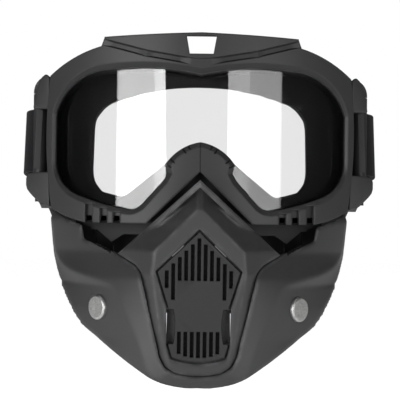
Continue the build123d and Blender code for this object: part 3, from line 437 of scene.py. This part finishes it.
def build_cut_lines():
    """Narrow cuts and grooves on the frame's front, mirrored left to right, as a dip and as a mask
    that paints their shade.
    """
    group, start, end = new_group("Cut Lines", [("Groove Share", 0.7)],
                                  [("Mask", VALUE), ("Height", VALUE)])
    place = node(group, "ShaderNodeTexCoord")
    mirrored = node(group, "ShaderNodeVectorMath", operation="ABSOLUTE")
    parts = node(group, "ShaderNodeSeparateXYZ")
    folded = node(group, "ShaderNodeSeparateXYZ")
    flat = node(group, "ShaderNodeCombineXYZ")
    link(group, place, "Object", parts, "Vector")
    group.links.new(place.outputs["Object"], mirrored.inputs[0])
    link(group, mirrored, "Vector", folded, "Vector")
    link(group, folded, "X", flat, "X")
    link(group, parts, "Z", flat, "Z")
    totals = {}
    for cut in CUTS:
        local = node(group, "ShaderNodeMapping", vector_type="TEXTURE",
                     Location=(cut.across * MM, 0.0, cut.up * MM),
                     Rotation=(0.0, radians(cut.turn), 0.0),
                     Scale=(cut.half_width * MM, 1.0, cut.half_length * MM))
        size = node(group, "ShaderNodeVectorMath", operation="ABSOLUTE")
        axes = node(group, "ShaderNodeSeparateXYZ")
        inside = node(group, "ShaderNodeMapRange", interpolation_type="SMOOTHSTEP",
                      From_Min=1.2, From_Max=0.6)
        link(group, flat, "Vector", local, "Vector")
        group.links.new(local.outputs["Vector"], size.inputs[0])
        link(group, size, "Vector", axes, "Vector")
        reach = maths(group, "MAXIMUM", axes.outputs["X"], axes.outputs["Z"])
        group.links.new(reach, inside.inputs["Value"])
        here = inside.outputs["Result"]
        for total in ("dip", cut.kind):
            known = totals.get(total)
            totals[total] = maths(group, "MAXIMUM", known, here) if known else here
    soft = maths(group, "MULTIPLY", totals["groove"], start.outputs["Groove Share"])
    group.links.new(maths(group, "MAXIMUM", totals["slit"], soft), end.inputs["Mask"])
    group.links.new(maths(group, "MULTIPLY", totals["dip"], -1.0), end.inputs["Height"])
    return group


GROUPS = {}


def build_groups():
    GROUPS.update(grain=build_moulded_grain(), wear=build_edge_wear(), dust=build_dust(),
                  cells=build_open_cells(), weave=build_weave(), cuts=build_cut_lines())


def group_node(tree, key, **values):
    made = tree.nodes.new("ShaderNodeGroup")
    made.node_tree = GROUPS[key]
    for name, value in values.items():
        made.inputs[name.replace("_", " ")].default_value = value
    return made


def new_material(name, **sockets):
    """A material with one Principled shader, its plain values set on its own sockets."""
    material = bpy.data.materials.new(name)
    material.use_nodes = True
    tree = material.node_tree
    shader = tree.nodes["Principled BSDF"]
    for key, value in sockets.items():
        shader.inputs[key.replace("_", " ")].default_value = value
    return material, tree, shader


def shade(tree, mask, masked, dark, light):
    """A colour that goes from dark to light with a mask."""
    mix = node(tree, "ShaderNodeMix", data_type="RGBA")
    tree.links.new(mask.outputs[masked], mix.inputs["Factor"])
    for socket, value in zip([s for s in mix.inputs if s.type == "RGBA"], (dark, light)):
        socket.default_value = (*value, 1.0)
    return mix


def colour_out(mix):
    return [s for s in mix.outputs if s.type == "RGBA"][0]


def over(tree, base, mask, masked, top):
    """Lay a colour over another by a mask."""
    mix = node(tree, "ShaderNodeMix", data_type="RGBA")
    tree.links.new(mask.outputs[masked], mix.inputs["Factor"])
    low, high = [s for s in mix.inputs if s.type == "RGBA"]
    tree.links.new(colour_out(base), low)
    high.default_value = (*top, 1.0)
    return mix


def scaled(tint, gain):
    return tuple(min(1.0, channel * gain) for channel in tint)


def grained_roughness(tree, shader, texture, low, high):
    """Roughness that drifts between two values with a texture's cloudy tone."""
    finish = ranged(tree, texture, "Cloud", low, high, start="To")
    tree.links.new(finish, shader.inputs["Roughness"])


def moulded(name, tint, roughness, grain=2600.0, bump=0.12, wear=0.35, gloss=0.35, rounding=1.0,
            cut=False, dust=0.12):
    """Satin moulded plastic: grain, cloudy tone, softly rounded edges lightened by rubbed wear and
    a painted highlight, dust, and painted shade in cut lines when asked.
    """
    material, tree, shader = new_material(name, Specular_IOR_Level=gloss)
    texture = group_node(tree, "grain", Grain_Scale=grain)
    edges = group_node(tree, "wear", Radius=sizes().edge_round * rounding)
    veil = group_node(tree, "dust", Amount=dust)
    base = shade(tree, texture, "Cloud", scaled(tint, 0.92), scaled(tint, 1.1))
    # edges lightened: partly rubbed wear, partly a painted highlight
    rubbed_and_highlit = over(tree, base, edges, "Mask", scaled(tint, 1.0 + 1.6 * wear))
    surface_colour = over(tree, rubbed_and_highlit, veil, "Mask", DUST)
    if cut:
        lines = group_node(tree, "cuts")
        # painted shade: cuts and grooves darkened to a tenth of the plastic's tint
        surface_colour = over(tree, surface_colour, lines, "Mask", scaled(tint, 0.1))
    tree.links.new(colour_out(surface_colour), shader.inputs["Base Color"])
    grained_roughness(tree, shader, texture, roughness - 0.05, roughness + 0.06)
    relief = node(tree, "ShaderNodeBump", Strength=bump, Distance=0.00008)
    link(tree, texture, "Height", relief, "Height")
    link(tree, edges, "Normal", relief, "Normal")
    if cut:
        grooves = node(tree, "ShaderNodeBump", Strength=1.0, Distance=0.0009)
        link(tree, lines, "Height", grooves, "Height")
        link(tree, relief, "Normal", grooves, "Normal")
        relief = grooves
    link(tree, relief, "Normal", shader, "Normal")
    return material


def foam_material(name, tint, cells, bump=0.7, sheen=0.0):
    """Open foam or brushed cloth by the size of its cells."""
    material, tree, shader = new_material(name, Roughness=0.95, Specular_IOR_Level=0.12,
                                          Sheen_Weight=sheen, Sheen_Roughness=0.6)
    texture = group_node(tree, "cells", Cell_Scale=cells)
    base = shade(tree, texture, "Pits", scaled(tint, 0.35), scaled(tint, 1.5))
    tree.links.new(colour_out(base), shader.inputs["Base Color"])
    relief = node(tree, "ShaderNodeBump", Strength=bump, Distance=0.0004)
    link(tree, texture, "Height", relief, "Height")
    link(tree, relief, "Normal", shader, "Normal")
    return material


def webbing_material(name, tint):
    """Elastic webbing: woven ribs, a little fuzz and lint."""
    material, tree, shader = new_material(name, Roughness=0.85, Specular_IOR_Level=0.15,
                                          Sheen_Weight=0.08, Sheen_Roughness=0.5)
    weave = group_node(tree, "weave")
    grain = group_node(tree, "grain", Grain_Scale=3200.0, Cloud_Scale=60.0)
    veil = group_node(tree, "dust", Amount=0.05)
    base = shade(tree, weave, "Tone", scaled(tint, 0.5), scaled(tint, 1.8))
    surface_colour = over(tree, base, veil, "Mask", LINT)
    tree.links.new(colour_out(surface_colour), shader.inputs["Base Color"])
    fuzz = node(tree, "ShaderNodeBump", Strength=0.25, Distance=0.0001)
    relief = node(tree, "ShaderNodeBump", Strength=0.8, Distance=0.0002)
    link(tree, grain, "Height", fuzz, "Height")
    link(tree, fuzz, "Normal", relief, "Normal")
    link(tree, weave, "Height", relief, "Height")
    link(tree, relief, "Normal", shader, "Normal")
    return material


def metal_material(name, tint, roughness):
    """Pressed metal with a pebbled face and brighter edges, partly rubbed and partly a painted
    highlight.
    """
    material, tree, shader = new_material(name, Metallic=1.0)
    texture = group_node(tree, "grain", Grain_Scale=1500.0, Cloud_Scale=900.0)
    edges = group_node(tree, "wear", Radius=0.0003, Gain=2.0)
    base = shade(tree, texture, "Cloud", scaled(tint, 0.4), scaled(tint, 1.05))
    # brighter edges: partly rubbed wear, partly a painted highlight on the rivet's rim
    rubbed_and_highlit = over(tree, base, edges, "Mask", scaled(tint, 1.4))
    tree.links.new(colour_out(rubbed_and_highlit), shader.inputs["Base Color"])
    grained_roughness(tree, shader, texture, roughness - 0.1, roughness + 0.15)
    relief = node(tree, "ShaderNodeBump", Strength=0.5, Distance=0.0003)
    link(tree, texture, "Height", relief, "Height")
    link(tree, edges, "Normal", relief, "Normal")
    link(tree, relief, "Normal", shader, "Normal")
    return material


def paint(material, *names):
    """Give CAD nodes a material."""
    for name in names:
        mesh = NODES[name].data
        mesh.materials.clear()
        mesh.materials.append(material)


def paint_shade_on_faces(mesh, material, chosen):
    """Give the faces whose middle a test picks a second material, a darker copy that paints shade
    on them.
    """
    mesh.materials.append(material)
    for face in mesh.polygons:
        if chosen(face.center):
            face.material_index = 1


def on_apron(spot):
    """Whether a point of the frame is on its apron, low down and near the middle."""
    return spot.z < APRON_TOP and abs(spot.x) < APRON_REACH


def on_tongue(spot):
    """Whether a point of the jaw shell is on a tongue that stands up from its edge."""
    across = abs(spot.x) / MM
    edge = TONGUE_FOOT + (across - TONGUE_NEAR) * TONGUE_SLOPE
    return TONGUE_NEAR < across < TONGUE_FAR and spot.z / MM > edge


def new_curve(points, fill, extrude, cyclic=False):
    """A flat Bezier curve pulled out to both sides, and its points for the caller to place."""
    bpy.ops.object.select_all(action="DESELECT")
    bpy.ops.curve.primitive_bezier_curve_add(location=(0.0, 0.0, 0.0))
    made = bpy.context.active_object
    made.data.dimensions = "2D"
    made.data.fill_mode = fill
    made.data.extrude = extrude
    spline = made.data.splines[0]
    spline.use_cyclic_u = cyclic
    spline.bezier_points.add(points - len(spline.bezier_points))
    return made, spline.bezier_points


def curve_to_piece(curve_object, name):
    """Turn a finished curve into a mesh piece."""
    only(curve_object)
    bpy.ops.object.convert(target="MESH")
    piece = bpy.context.active_object
    piece.name = name
    return piece


def raised_form(name, side, ear):
    """A block with a rounded edge: an outline seen from the front, its front face set back towards
    the side, made as a flat filled curve and then bent into place."""
    curve_object, points = new_curve(len(ear.outline), "BOTH", DEEP, cyclic=True)
    for point, (x, z) in zip(points, ear.outline):
        point.handle_left_type = point.handle_right_type = "VECTOR"
        point.co = (x * MM, z * MM, 0.0)
    curve_object.data.resolution_u = 4
    piece = curve_to_piece(curve_object, name)
    edit_all(piece, (bpy.ops.mesh.remove_doubles, {"threshold": MERGE_OUTLINE}))
    (near_x, near_y), (far_x, far_y) = ear.near, ear.far
    for vertex in piece.data.vertices:
        x, z, deep = vertex.co.x, vertex.co.y, vertex.co.z
        share = (x / MM - near_x) / (far_x - near_x)
        y = near_y + (far_y - near_y) * share if deep > 0 else ear.rear
        vertex.co = (side * x, y * MM, z)
    edit_all(piece, (bpy.ops.mesh.normals_make_consistent, {"inside": False}))
    rounded = piece.modifiers.new("Rounding", "BEVEL")
    rounded.width = ear.soft * MM
    rounded.segments = 3
    rounded.limit_method = "ANGLE"
    apply_all(piece)
    bpy.ops.object.shade_smooth_by_angle(angle=radians(50.0))
    return piece


def circle_through(a, b, c):
    """Middle and radius of the circle through three points."""
    ax, ay, bx, by, cx, cy = *a, *b, *c
    det = 2.0 * (ax * (by - cy) + bx * (cy - ay) + cx * (ay - by))
    a2, b2, c2 = ax * ax + ay * ay, bx * bx + by * by, cx * cx + cy * cy
    x = (a2 * (by - cy) + b2 * (cy - ay) + c2 * (ay - by)) / det
    y = (a2 * (cx - bx) + b2 * (ax - cx) + c2 * (bx - ax)) / det
    return x, y, hypot(ax - x, ay - y)


def side_reach(vertices):
    """How far out a shell reaches at each level, evened out over the levels beside it."""
    widest = {}
    for vertex in vertices:
        level = round(vertex.co.z / JAW_STEP)
        widest[level] = max(widest.get(level, 0.0), abs(vertex.co.x))
    spread = range(-JAW_AVERAGE, JAW_AVERAGE + 1)
    return {level: sum(widest.get(level + off, own) for off in spread) / len(spread)
            for level, own in widest.items()}


def reach_at(reach, height):
    """The reach at a height, from the two levels beside it."""
    at = height / JAW_STEP
    under = floor(at)
    share = at - under
    nearest = reach[round(at)]
    return reach.get(under, nearest) * (1.0 - share) + reach.get(under + 1, nearest) * share


def swept_jaw():
    """The jaw shell with its sides drawn out to one even sweep from the ears to the jaw's corner,
    and its slope to the chin swelled."""
    piece = copy_of_node("jaw_shell", "jaw_shell_moulded")
    add_remesh(piece, JAW_VOXEL)
    add_smooth(piece, 3)
    apply_all(piece)
    middle_x, middle_z, radius = circle_through(*JAW_SWEEP)
    high, low = JAW_SWEEP[0][1], JAW_SWEEP[2][1]
    reach = side_reach(piece.data.vertices)
    for vertex in piece.data.vertices:
        x, z = vertex.co.x, vertex.co.z / MM
        edge = reach_at(reach, vertex.co.z)
        if CHIN_LOW < z < CHIN_HIGH:
            swell = CHIN_SWELL * sin(pi * (z - CHIN_LOW) / (CHIN_HIGH - CHIN_LOW)) * MM
            vertex.co.x = x * (1.0 + swell * abs(x) / edge ** 2)
        elif low < z < high:
            sweep = (middle_x + sqrt(radius ** 2 - (z - middle_z) ** 2)) * MM
            weight = max(0.0, (abs(x) - JAW_STILL) / (edge - JAW_STILL)) ** 2
            fade = min(1.0, (z - low) / JAW_FADE, (high - z) / JAW_FADE)
            move = (sweep - edge) * min(weight, 1.0) * fade
            vertex.co.x = x + move if x > 0 else x - move
    add_smooth(piece, 2)
    apply_all(piece)
    bpy.ops.object.shade_smooth()
    return piece


def eased_cover():
    """The vent cover with its faces drawn in a little, which opens its slots."""
    piece = copy_of_node("vent_cover", "vent_cover_moulded")
    fatten(piece, -sizes().slot_ease, even=True)
    bpy.ops.object.shade_smooth_by_angle(angle=radians(30.0))
    return piece


# ---------------------------------------------------------------- stage
def pale_stage_material():
    """Pale floor that meets a white surround and keeps a soft shadow."""
    material, tree, shader = new_material("Stage Pale", Base_Color=(0.8, 0.8, 0.8, 1.0),
                                          Roughness=0.9, Specular_IOR_Level=0.1)
    grain = node(tree, "ShaderNodeTexNoise", Scale=3.0, Detail=2.0)
    seen = node(tree, "ShaderNodeLightPath")
    glow = maths(tree, "MULTIPLY_ADD", seen.outputs["Is Camera Ray"], 0.5, 0.45)
    shader.inputs["Emission Color"].default_value = WHITE
    tree.links.new(glow, shader.inputs["Emission Strength"])
    soft = node(tree, "ShaderNodeBump", Strength=0.02)
    link(tree, grain, "Fac", soft, "Height")
    link(tree, soft, "Normal", shader, "Normal")
    return material


def add_lamp(lamp):
    """A rectangular lamp that faces a point; its power follows from how bright its face is."""
    light = bpy.data.lights.new(lamp.name, "AREA")
    light.shape = "RECTANGLE"
    light.size = lamp.width
    light.size_y = lamp.height
    light.energy = lamp.radiance * pi * lamp.width * lamp.height
    made = bpy.data.objects.new(lamp.name, light)
    bpy.context.scene.collection.objects.link(made)
    made.location = lamp.place
    facing = Vector(lamp.aim) - Vector(lamp.place)
    made.rotation_euler = facing.to_track_quat("-Z", "Y").to_euler()
    return made


def build_world():
    """White where the camera or clear plastic looks past the object, dim where it lights it."""
    world = bpy.data.worlds.new("Studio White")
    bpy.context.scene.world = world
    world.use_nodes = True
    tree = world.node_tree
    tree.nodes.clear()
    end = node(tree, "ShaderNodeOutputWorld")
    seen = node(tree, "ShaderNodeLightPath")
    white = node(tree, "ShaderNodeBackground", Color=WHITE, Strength=1.0)
    dim = node(tree, "ShaderNodeBackground", Color=WHITE, Strength=WORLD_DIM)
    mix = node(tree, "ShaderNodeMixShader")
    bounces = maths(tree, "ADD", seen.outputs["Diffuse Depth"], seen.outputs["Glossy Depth"])
    first = maths(tree, "LESS_THAN", bounces, 0.5)
    through = maths(tree, "MULTIPLY", seen.outputs["Is Transmission Ray"], first)
    direct = maths(tree, "MAXIMUM", seen.outputs["Is Camera Ray"], through)
    for source, target in zip((direct, dim.outputs[0], white.outputs[0]), mix.inputs):
        tree.links.new(source, target)
    tree.links.new(mix.outputs[0], end.inputs["Surface"])


class GOGGLES_OT_stage(bpy.types.Operator):
    """Floor, surround, softboxes and camera"""
    bl_idname = "goggles.stage"
    bl_label = "Stage"

    def execute(self, context):
        s = sizes()
        bpy.ops.object.select_all(action="DESELECT")
        bpy.ops.mesh.primitive_plane_add(size=8.0, location=(0.0, 0.0, -s.floor_drop))
        ground = context.active_object
        ground.name = "stage_floor"
        ground.data.materials.append(pale_stage_material())
        bpy.ops.object.transform_apply(location=True, rotation=True, scale=True)
        build_world()
        away = s.softbox_distance
        for box in SOFTBOXES:
            middle = radians(box.low + box.high) / 2
            place = LENS_FRONT + away * Vector((sin(middle), -cos(middle), 0.0))
            width = 2.0 * away * tan(radians(box.high - box.low) / 2)
            add_lamp(Lamp(box.name, place, LENS_FRONT, width, s.softbox_height, box.radiance))
        add_lamp(TOP_LAMP)
        # the side cards light the sides and stay out of the lens's reflections
        for lamp in SIDE_CARDS:
            card = add_lamp(lamp)
            card.visible_glossy = False
            card.visible_transmission = False
        view = bpy.data.cameras.new("Camera")
        view.sensor_width = CAMERA_SENSOR
        view.lens = CAMERA_LENS
        camera = bpy.data.objects.new("Camera", view)
        context.scene.collection.objects.link(camera)
        turn = atan2(s.camera_aside, s.camera_distance - s.camera_aim)
        level = Matrix.Rotation(-turn, 4, "Z") @ Matrix.Rotation(radians(90.0), 4, "X")
        place = Matrix.Translation((-s.camera_aside, -s.camera_distance, -s.camera_height))
        camera.matrix_world = place @ level @ Matrix.Rotation(CAMERA_ROLL, 4, "Z")
        context.scene.camera = camera
        context.scene.view_settings.view_transform = "Standard"
        return {"FINISHED"}


# ---------------------------------------------------------------- moulded parts
class GOGGLES_OT_moulded_parts(bpy.types.Operator):
    """Frame with its ears, mask shells, vent cover, outriggers, sliders and rear skirt"""
    bl_idname = "goggles.moulded_parts"
    bl_label = "Moulded parts"

    def execute(self, context):
        c = colours()
        frame_finish = moulded("Frame Satin Plastic", c.frame, 0.46, rounding=2.0, cut=True)
        paint(frame_finish, "front_frame")
        # painted shade: a dark copy of the frame plastic for the apron under the lens and the jaw's
        # tongues, where shade falls under the frame
        painted_shade = moulded("Painted Shade Plastic", scaled(c.frame, 0.3), 0.7, gloss=0.06, dust=0.01)
        paint_shade_on_faces(NODES["front_frame"].data, painted_shade, on_apron)
        for name, side in SIDES.items():
            for where, form in EARS.items():
                ear = raised_form(f"ear_{where}_{name}", side, form)
                dress(ear, frame_finish, "goggles", "frame_grey")
        paint(moulded("Outrigger Satin Plastic", c.trim, 0.5), "outrigger_left", "outrigger_right")
        # strong edge lightening on the mask paints highlights along its creases, beside some rubbed
        # wear
        mask = moulded("Mask Satin Plastic", c.mask, 0.4, wear=3.0, gloss=0.5, rounding=5.0)
        paint(mask, "nose_shell")
        jaw = swept_jaw()
        dress(jaw, mask, "mask", "mask_grey", "jaw_shell")
        # painted shade on the jaw's tongues, which stand in the shade under the frame
        paint_shade_on_faces(jaw.data, painted_shade, on_tongue)
        cover = moulded("Cover Satin Plastic", c.cover, 0.5)
        dress(eased_cover(), cover, "vent_cover", "cover_grey", "vent_cover")
        paint(moulded("Trim Plastic", c.trim, 0.5), "strap_slider_left", "strap_slider_right",
              "filter_frame")
        paint(moulded("Pale Clip Plastic", c.clip, 0.35, grain=3400.0, wear=0.2), "vent_catches")
        paint(moulded("Skirt Rubber", c.skirt, 0.62, grain=1800.0, bump=0.2, wear=0.1, gloss=0.3),
              "rear_skirt")
        return {"FINISHED"}


class GOGGLES_OT_lens(bpy.types.Operator):
    """Clear curved lens"""
    bl_idname = "goggles.lens"
    bl_label = "Lens"

    def execute(self, context):
        material, tree, shader = new_material("Clear Lens", Metallic=0.0, IOR=1.5,
                                              Transmission_Weight=1.0)
        smudge = group_node(tree, "grain", Grain_Scale=900.0, Cloud_Scale=35.0)
        base = shade(tree, smudge, "Cloud", (0.84, 0.84, 0.84), (0.87, 0.87, 0.87))
        tree.links.new(colour_out(base), shader.inputs["Base Color"])
        grained_roughness(tree, shader, smudge, 0.0, 0.03)
        paint(material, "lens")
        return {"FINISHED"}


class GOGGLES_OT_metal(bpy.types.Operator):
    """Rivets, washers and pins"""
    bl_idname = "goggles.metal"
    bl_label = "Metal"

    def execute(self, context):
        c = colours()
        paint(metal_material("Rivet Steel", c.steel, 0.4), "cheek_rivets", "rivet_washers")
        paint(metal_material("Pin Steel", scaled(c.steel, 0.08), 0.45), "hinge_pins")
        return {"FINISHED"}


# ---------------------------------------------------------------- soft pieces
def soft_from_node(node_name, piece_name, material, body, slot, voxel):
    """Replace a soft CAD solid with a puffed pad in the same place."""
    s = sizes()
    piece = copy_of_node(node_name, piece_name)
    puff(piece, voxel, s.foam_inset, s.foam_swell)
    dress(piece, material, body, slot, node_name)
    return piece


class GOGGLES_OT_face_seat(bpy.types.Operator):
    """Face foam and its fleece"""
    bl_idname = "goggles.face_seat"
    bl_label = "Face seat"

    def execute(self, context):
        c = colours()
        voxel = sizes().foam_voxel
        foam = foam_material("Face Foam", c.foam, 1100.0)
        fleece = foam_material("Face Fleece", c.fleece, 2200.0, bump=0.5, sheen=0.3)
        soft_from_node("face_foam", "face_foam_pad", foam, "goggles", "foam_black", voxel)
        soft_from_node("face_fleece", "face_fleece_pad", fleece, "goggles", "fleece_black",
                       voxel)
        return {"FINISHED"}


class GOGGLES_OT_vent_foams(bpy.types.Operator):
    """Foam strips over the skirt's vents"""
    bl_idname = "goggles.vent_foams"
    bl_label = "Vent foams"

    def execute(self, context):
        foam = foam_material("Vent Foam", colours().foam, 700.0, bump=0.9)
        for name in ("top", "left", "right"):
            soft_from_node(f"vent_foam_{name}", f"vent_foam_strip_{name}", foam, "goggles",
                           "foam_black", STRIP_VOXEL)
        return {"FINISHED"}


class GOGGLES_OT_mask_pads(bpy.types.Operator):
    """Cheek pads, chin pad, filter pad and vent screen inside the mask"""
    bl_idname = "goggles.mask_pads"
    bl_label = "Mask pads"

    def execute(self, context):
        c = colours()
        s = sizes()
        foam = foam_material("Mask Pad Foam", c.foam, 1000.0)
        felt = foam_material("Filter Felt", c.felt, 2600.0, bump=0.4, sheen=0.2)
        screen = foam_material("Vent Mesh", scaled(c.foam, 0.8), 1800.0, bump=0.5)
        for name in ("cheek_pad_left", "cheek_pad_right", "chin_pad"):
            soft_from_node(name, f"{name}_soft", foam, "mask", "foam_black", PAD_VOXEL)
        pad = soft_from_node("filter_pad", "filter_pad_felt", felt, "mask", "filter_felt",
                             PAD_VOXEL)
        low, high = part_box("filter_pad")
        middle = (low + high) / 2
        for vertex in pad.data.vertices:
            vertex.co.x = middle.x + (vertex.co.x - middle.x) * s.filter_spread
            vertex.co.z = middle.z + (vertex.co.z - middle.z) * s.filter_spread
        paint(screen, "vent_screen")
        return {"FINISHED"}


# ---------------------------------------------------------------- straps
def webbing_path(side):
    """The webbing's middle line in the strap's plane: points with their two handles."""
    half = sizes().strap_thickness / 2
    bend = BAR_R + BAR_GAP + half
    lean = (BACK_R - BAR_X) / SIDE_RUN
    arm = bend * CIRCLE_HANDLE
    sweep = BACK_R * CIRCLE_HANDLE

    def run_x(station):
        return BAR_X + lean * station

    # the folded end lies a hair more than one thickness inside the run
    inner_end = (run_x(FOLD_END) - 2.1 * half, FOLD_END)
    inner_low = (run_x(FOLD_TUCK) - 2.1 * half, FOLD_TUCK)
    return [
        (inner_end, (0.0, 0.004), (0.0, -0.004)),
        (inner_low, (0.0, 0.005), (0.0, -0.005)),
        ((BAR_X - bend, 0.0), (0.0, 0.004), (0.0, -arm)),
        ((BAR_X, -bend), (-arm, 0.0), (arm, 0.0)),
        ((BAR_X + bend + STRAP_SLACK, 0.001), (0.0, -1.6 * arm), (0.0, 0.004)),
        ((run_x(FOLD_LEAVE) + STRAP_SLACK, FOLD_LEAVE), (0.0004, -0.004), (-0.0004, 0.006)),
        ((run_x(RUN_LEVEL), RUN_LEVEL), (-lean * 0.008, -0.008), (lean * 0.006, 0.006)),
        ((run_x(RUN_EVEN), RUN_EVEN), (-lean * 0.008, -0.008), (lean * 0.01, 0.01)),
        ((BACK_R, SIDE_RUN), (0.0, -0.01), (0.0, sweep)),
        ((0.0, SIDE_RUN + BACK_R), (sweep, 0.0), (-0.004, 0.0)),
    ]


def ribbon(name, side, path, width, thickness):
    """Webbing along a path: a flat curve pulled out to its width, given its thickness and a UV map
    in metres."""
    curve_object, points = new_curve(len(path), "NONE", width / 2)
    curve_object.data.resolution_u = 24
    for point, (place, back, ahead) in zip(points, path):
        point.handle_left_type = "FREE"
        point.handle_right_type = "FREE"
        spot = Vector((side * place[0], place[1], 0.0))
        point.co = spot
        point.handle_left = spot + Vector((side * back[0], back[1], 0.0))
        point.handle_right = spot + Vector((side * ahead[0], ahead[1], 0.0))
    piece = curve_to_piece(curve_object, name)
    mesh = piece.data
    # distance along the webbing, summed station by station
    stations = {}
    order = []
    for vertex in mesh.vertices:
        key = (round(vertex.co.x, 7), round(vertex.co.y, 7))
        if key not in stations:
            stations[key] = 0.0
            order.append(key)
    run = 0.0
    for before, here in zip(order, order[1:]):
        run += hypot(here[0] - before[0], here[1] - before[1])
        stations[here] = run
    if not mesh.uv_layers:
        mesh.uv_layers.new(name="UVMap")
    layer = mesh.uv_layers[0]
    for loop in mesh.loops:
        spot = mesh.vertices[loop.vertex_index].co
        layer.data[loop.index].uv = (stations[(round(spot.x, 7), round(spot.y, 7))], spot.z)
    weld(piece, MERGE_RIBBON)
    solid = piece.modifiers.new("Thickness", "SOLIDIFY")
    solid.thickness = thickness
    solid.offset = 0.0
    soft = piece.modifiers.new("Selvedge", "BEVEL")
    soft.width = thickness * 0.35
    soft.segments = 2
    soft.limit_method = "ANGLE"
    apply_all(piece)
    # lay the flat curve into the strap's tilted plane
    tilt = Matrix.Translation(STRAP_ORIGIN) @ Matrix.Rotation(-STRAP_SLOPE, 4, "X")
    mesh.transform(tilt)
    mesh.update()
    bpy.ops.object.shade_smooth_by_angle(angle=radians(40.0))
    return piece


class GOGGLES_OT_straps(bpy.types.Operator):
    """Both halves of the elastic strap, folded round the outriggers' bars"""
    bl_idname = "goggles.straps"
    bl_label = "Straps"

    def execute(self, context):
        s = sizes()
        material = webbing_material("Elastic Webbing", colours().webbing)
        for name, side in SIDES.items():
            piece = ribbon(f"webbing_{name}", side, webbing_path(side), s.strap_width,
                           s.strap_thickness)
            piece.data.materials.append(material)
            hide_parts(f"strap_{name}", f"strap_loop_{name}")
            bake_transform(piece)
        return {"FINISHED"}


# ---------------------------------------------------------------- panel and registration
OPERATORS = (GOGGLES_OT_stage, GOGGLES_OT_moulded_parts, GOGGLES_OT_lens, GOGGLES_OT_metal,
             GOGGLES_OT_face_seat, GOGGLES_OT_vent_foams, GOGGLES_OT_mask_pads, GOGGLES_OT_straps)


class GOGGLES_PT_panel(bpy.types.Panel):
    """The goggles' pieces in the order they are made"""
    bl_idname = "GOGGLES_PT_panel"
    bl_label = "Goggles"
    bl_space_type = "VIEW_3D"
    bl_region_type = "UI"
    bl_category = "Goggles"

    def draw(self, context):
        layout = self.layout
        for group in (context.scene.goggle_sizes, context.scene.goggle_colours):
            box = layout.box()
            for name in group.__annotations__:
                box.prop(group, name)
        for operator in OPERATORS:
            layout.operator(operator.bl_idname)


CLASSES = (GoggleSizes, GoggleColours, *OPERATORS, GOGGLES_PT_panel)


def register():
    for cls in CLASSES:
        bpy.utils.register_class(cls)
    bpy.types.Scene.goggle_sizes = PointerProperty(type=GoggleSizes)
    bpy.types.Scene.goggle_colours = PointerProperty(type=GoggleColours)


def unregister():
    del bpy.types.Scene.goggle_colours
    del bpy.types.Scene.goggle_sizes
    for cls in reversed(CLASSES):
        bpy.utils.unregister_class(cls)


def main():
    register()
    build_groups()
    for operator in OPERATORS:
        family, name = operator.bl_idname.split(".")
        getattr(getattr(bpy.ops, family), name)()


if __name__ == "__main__":
    main()
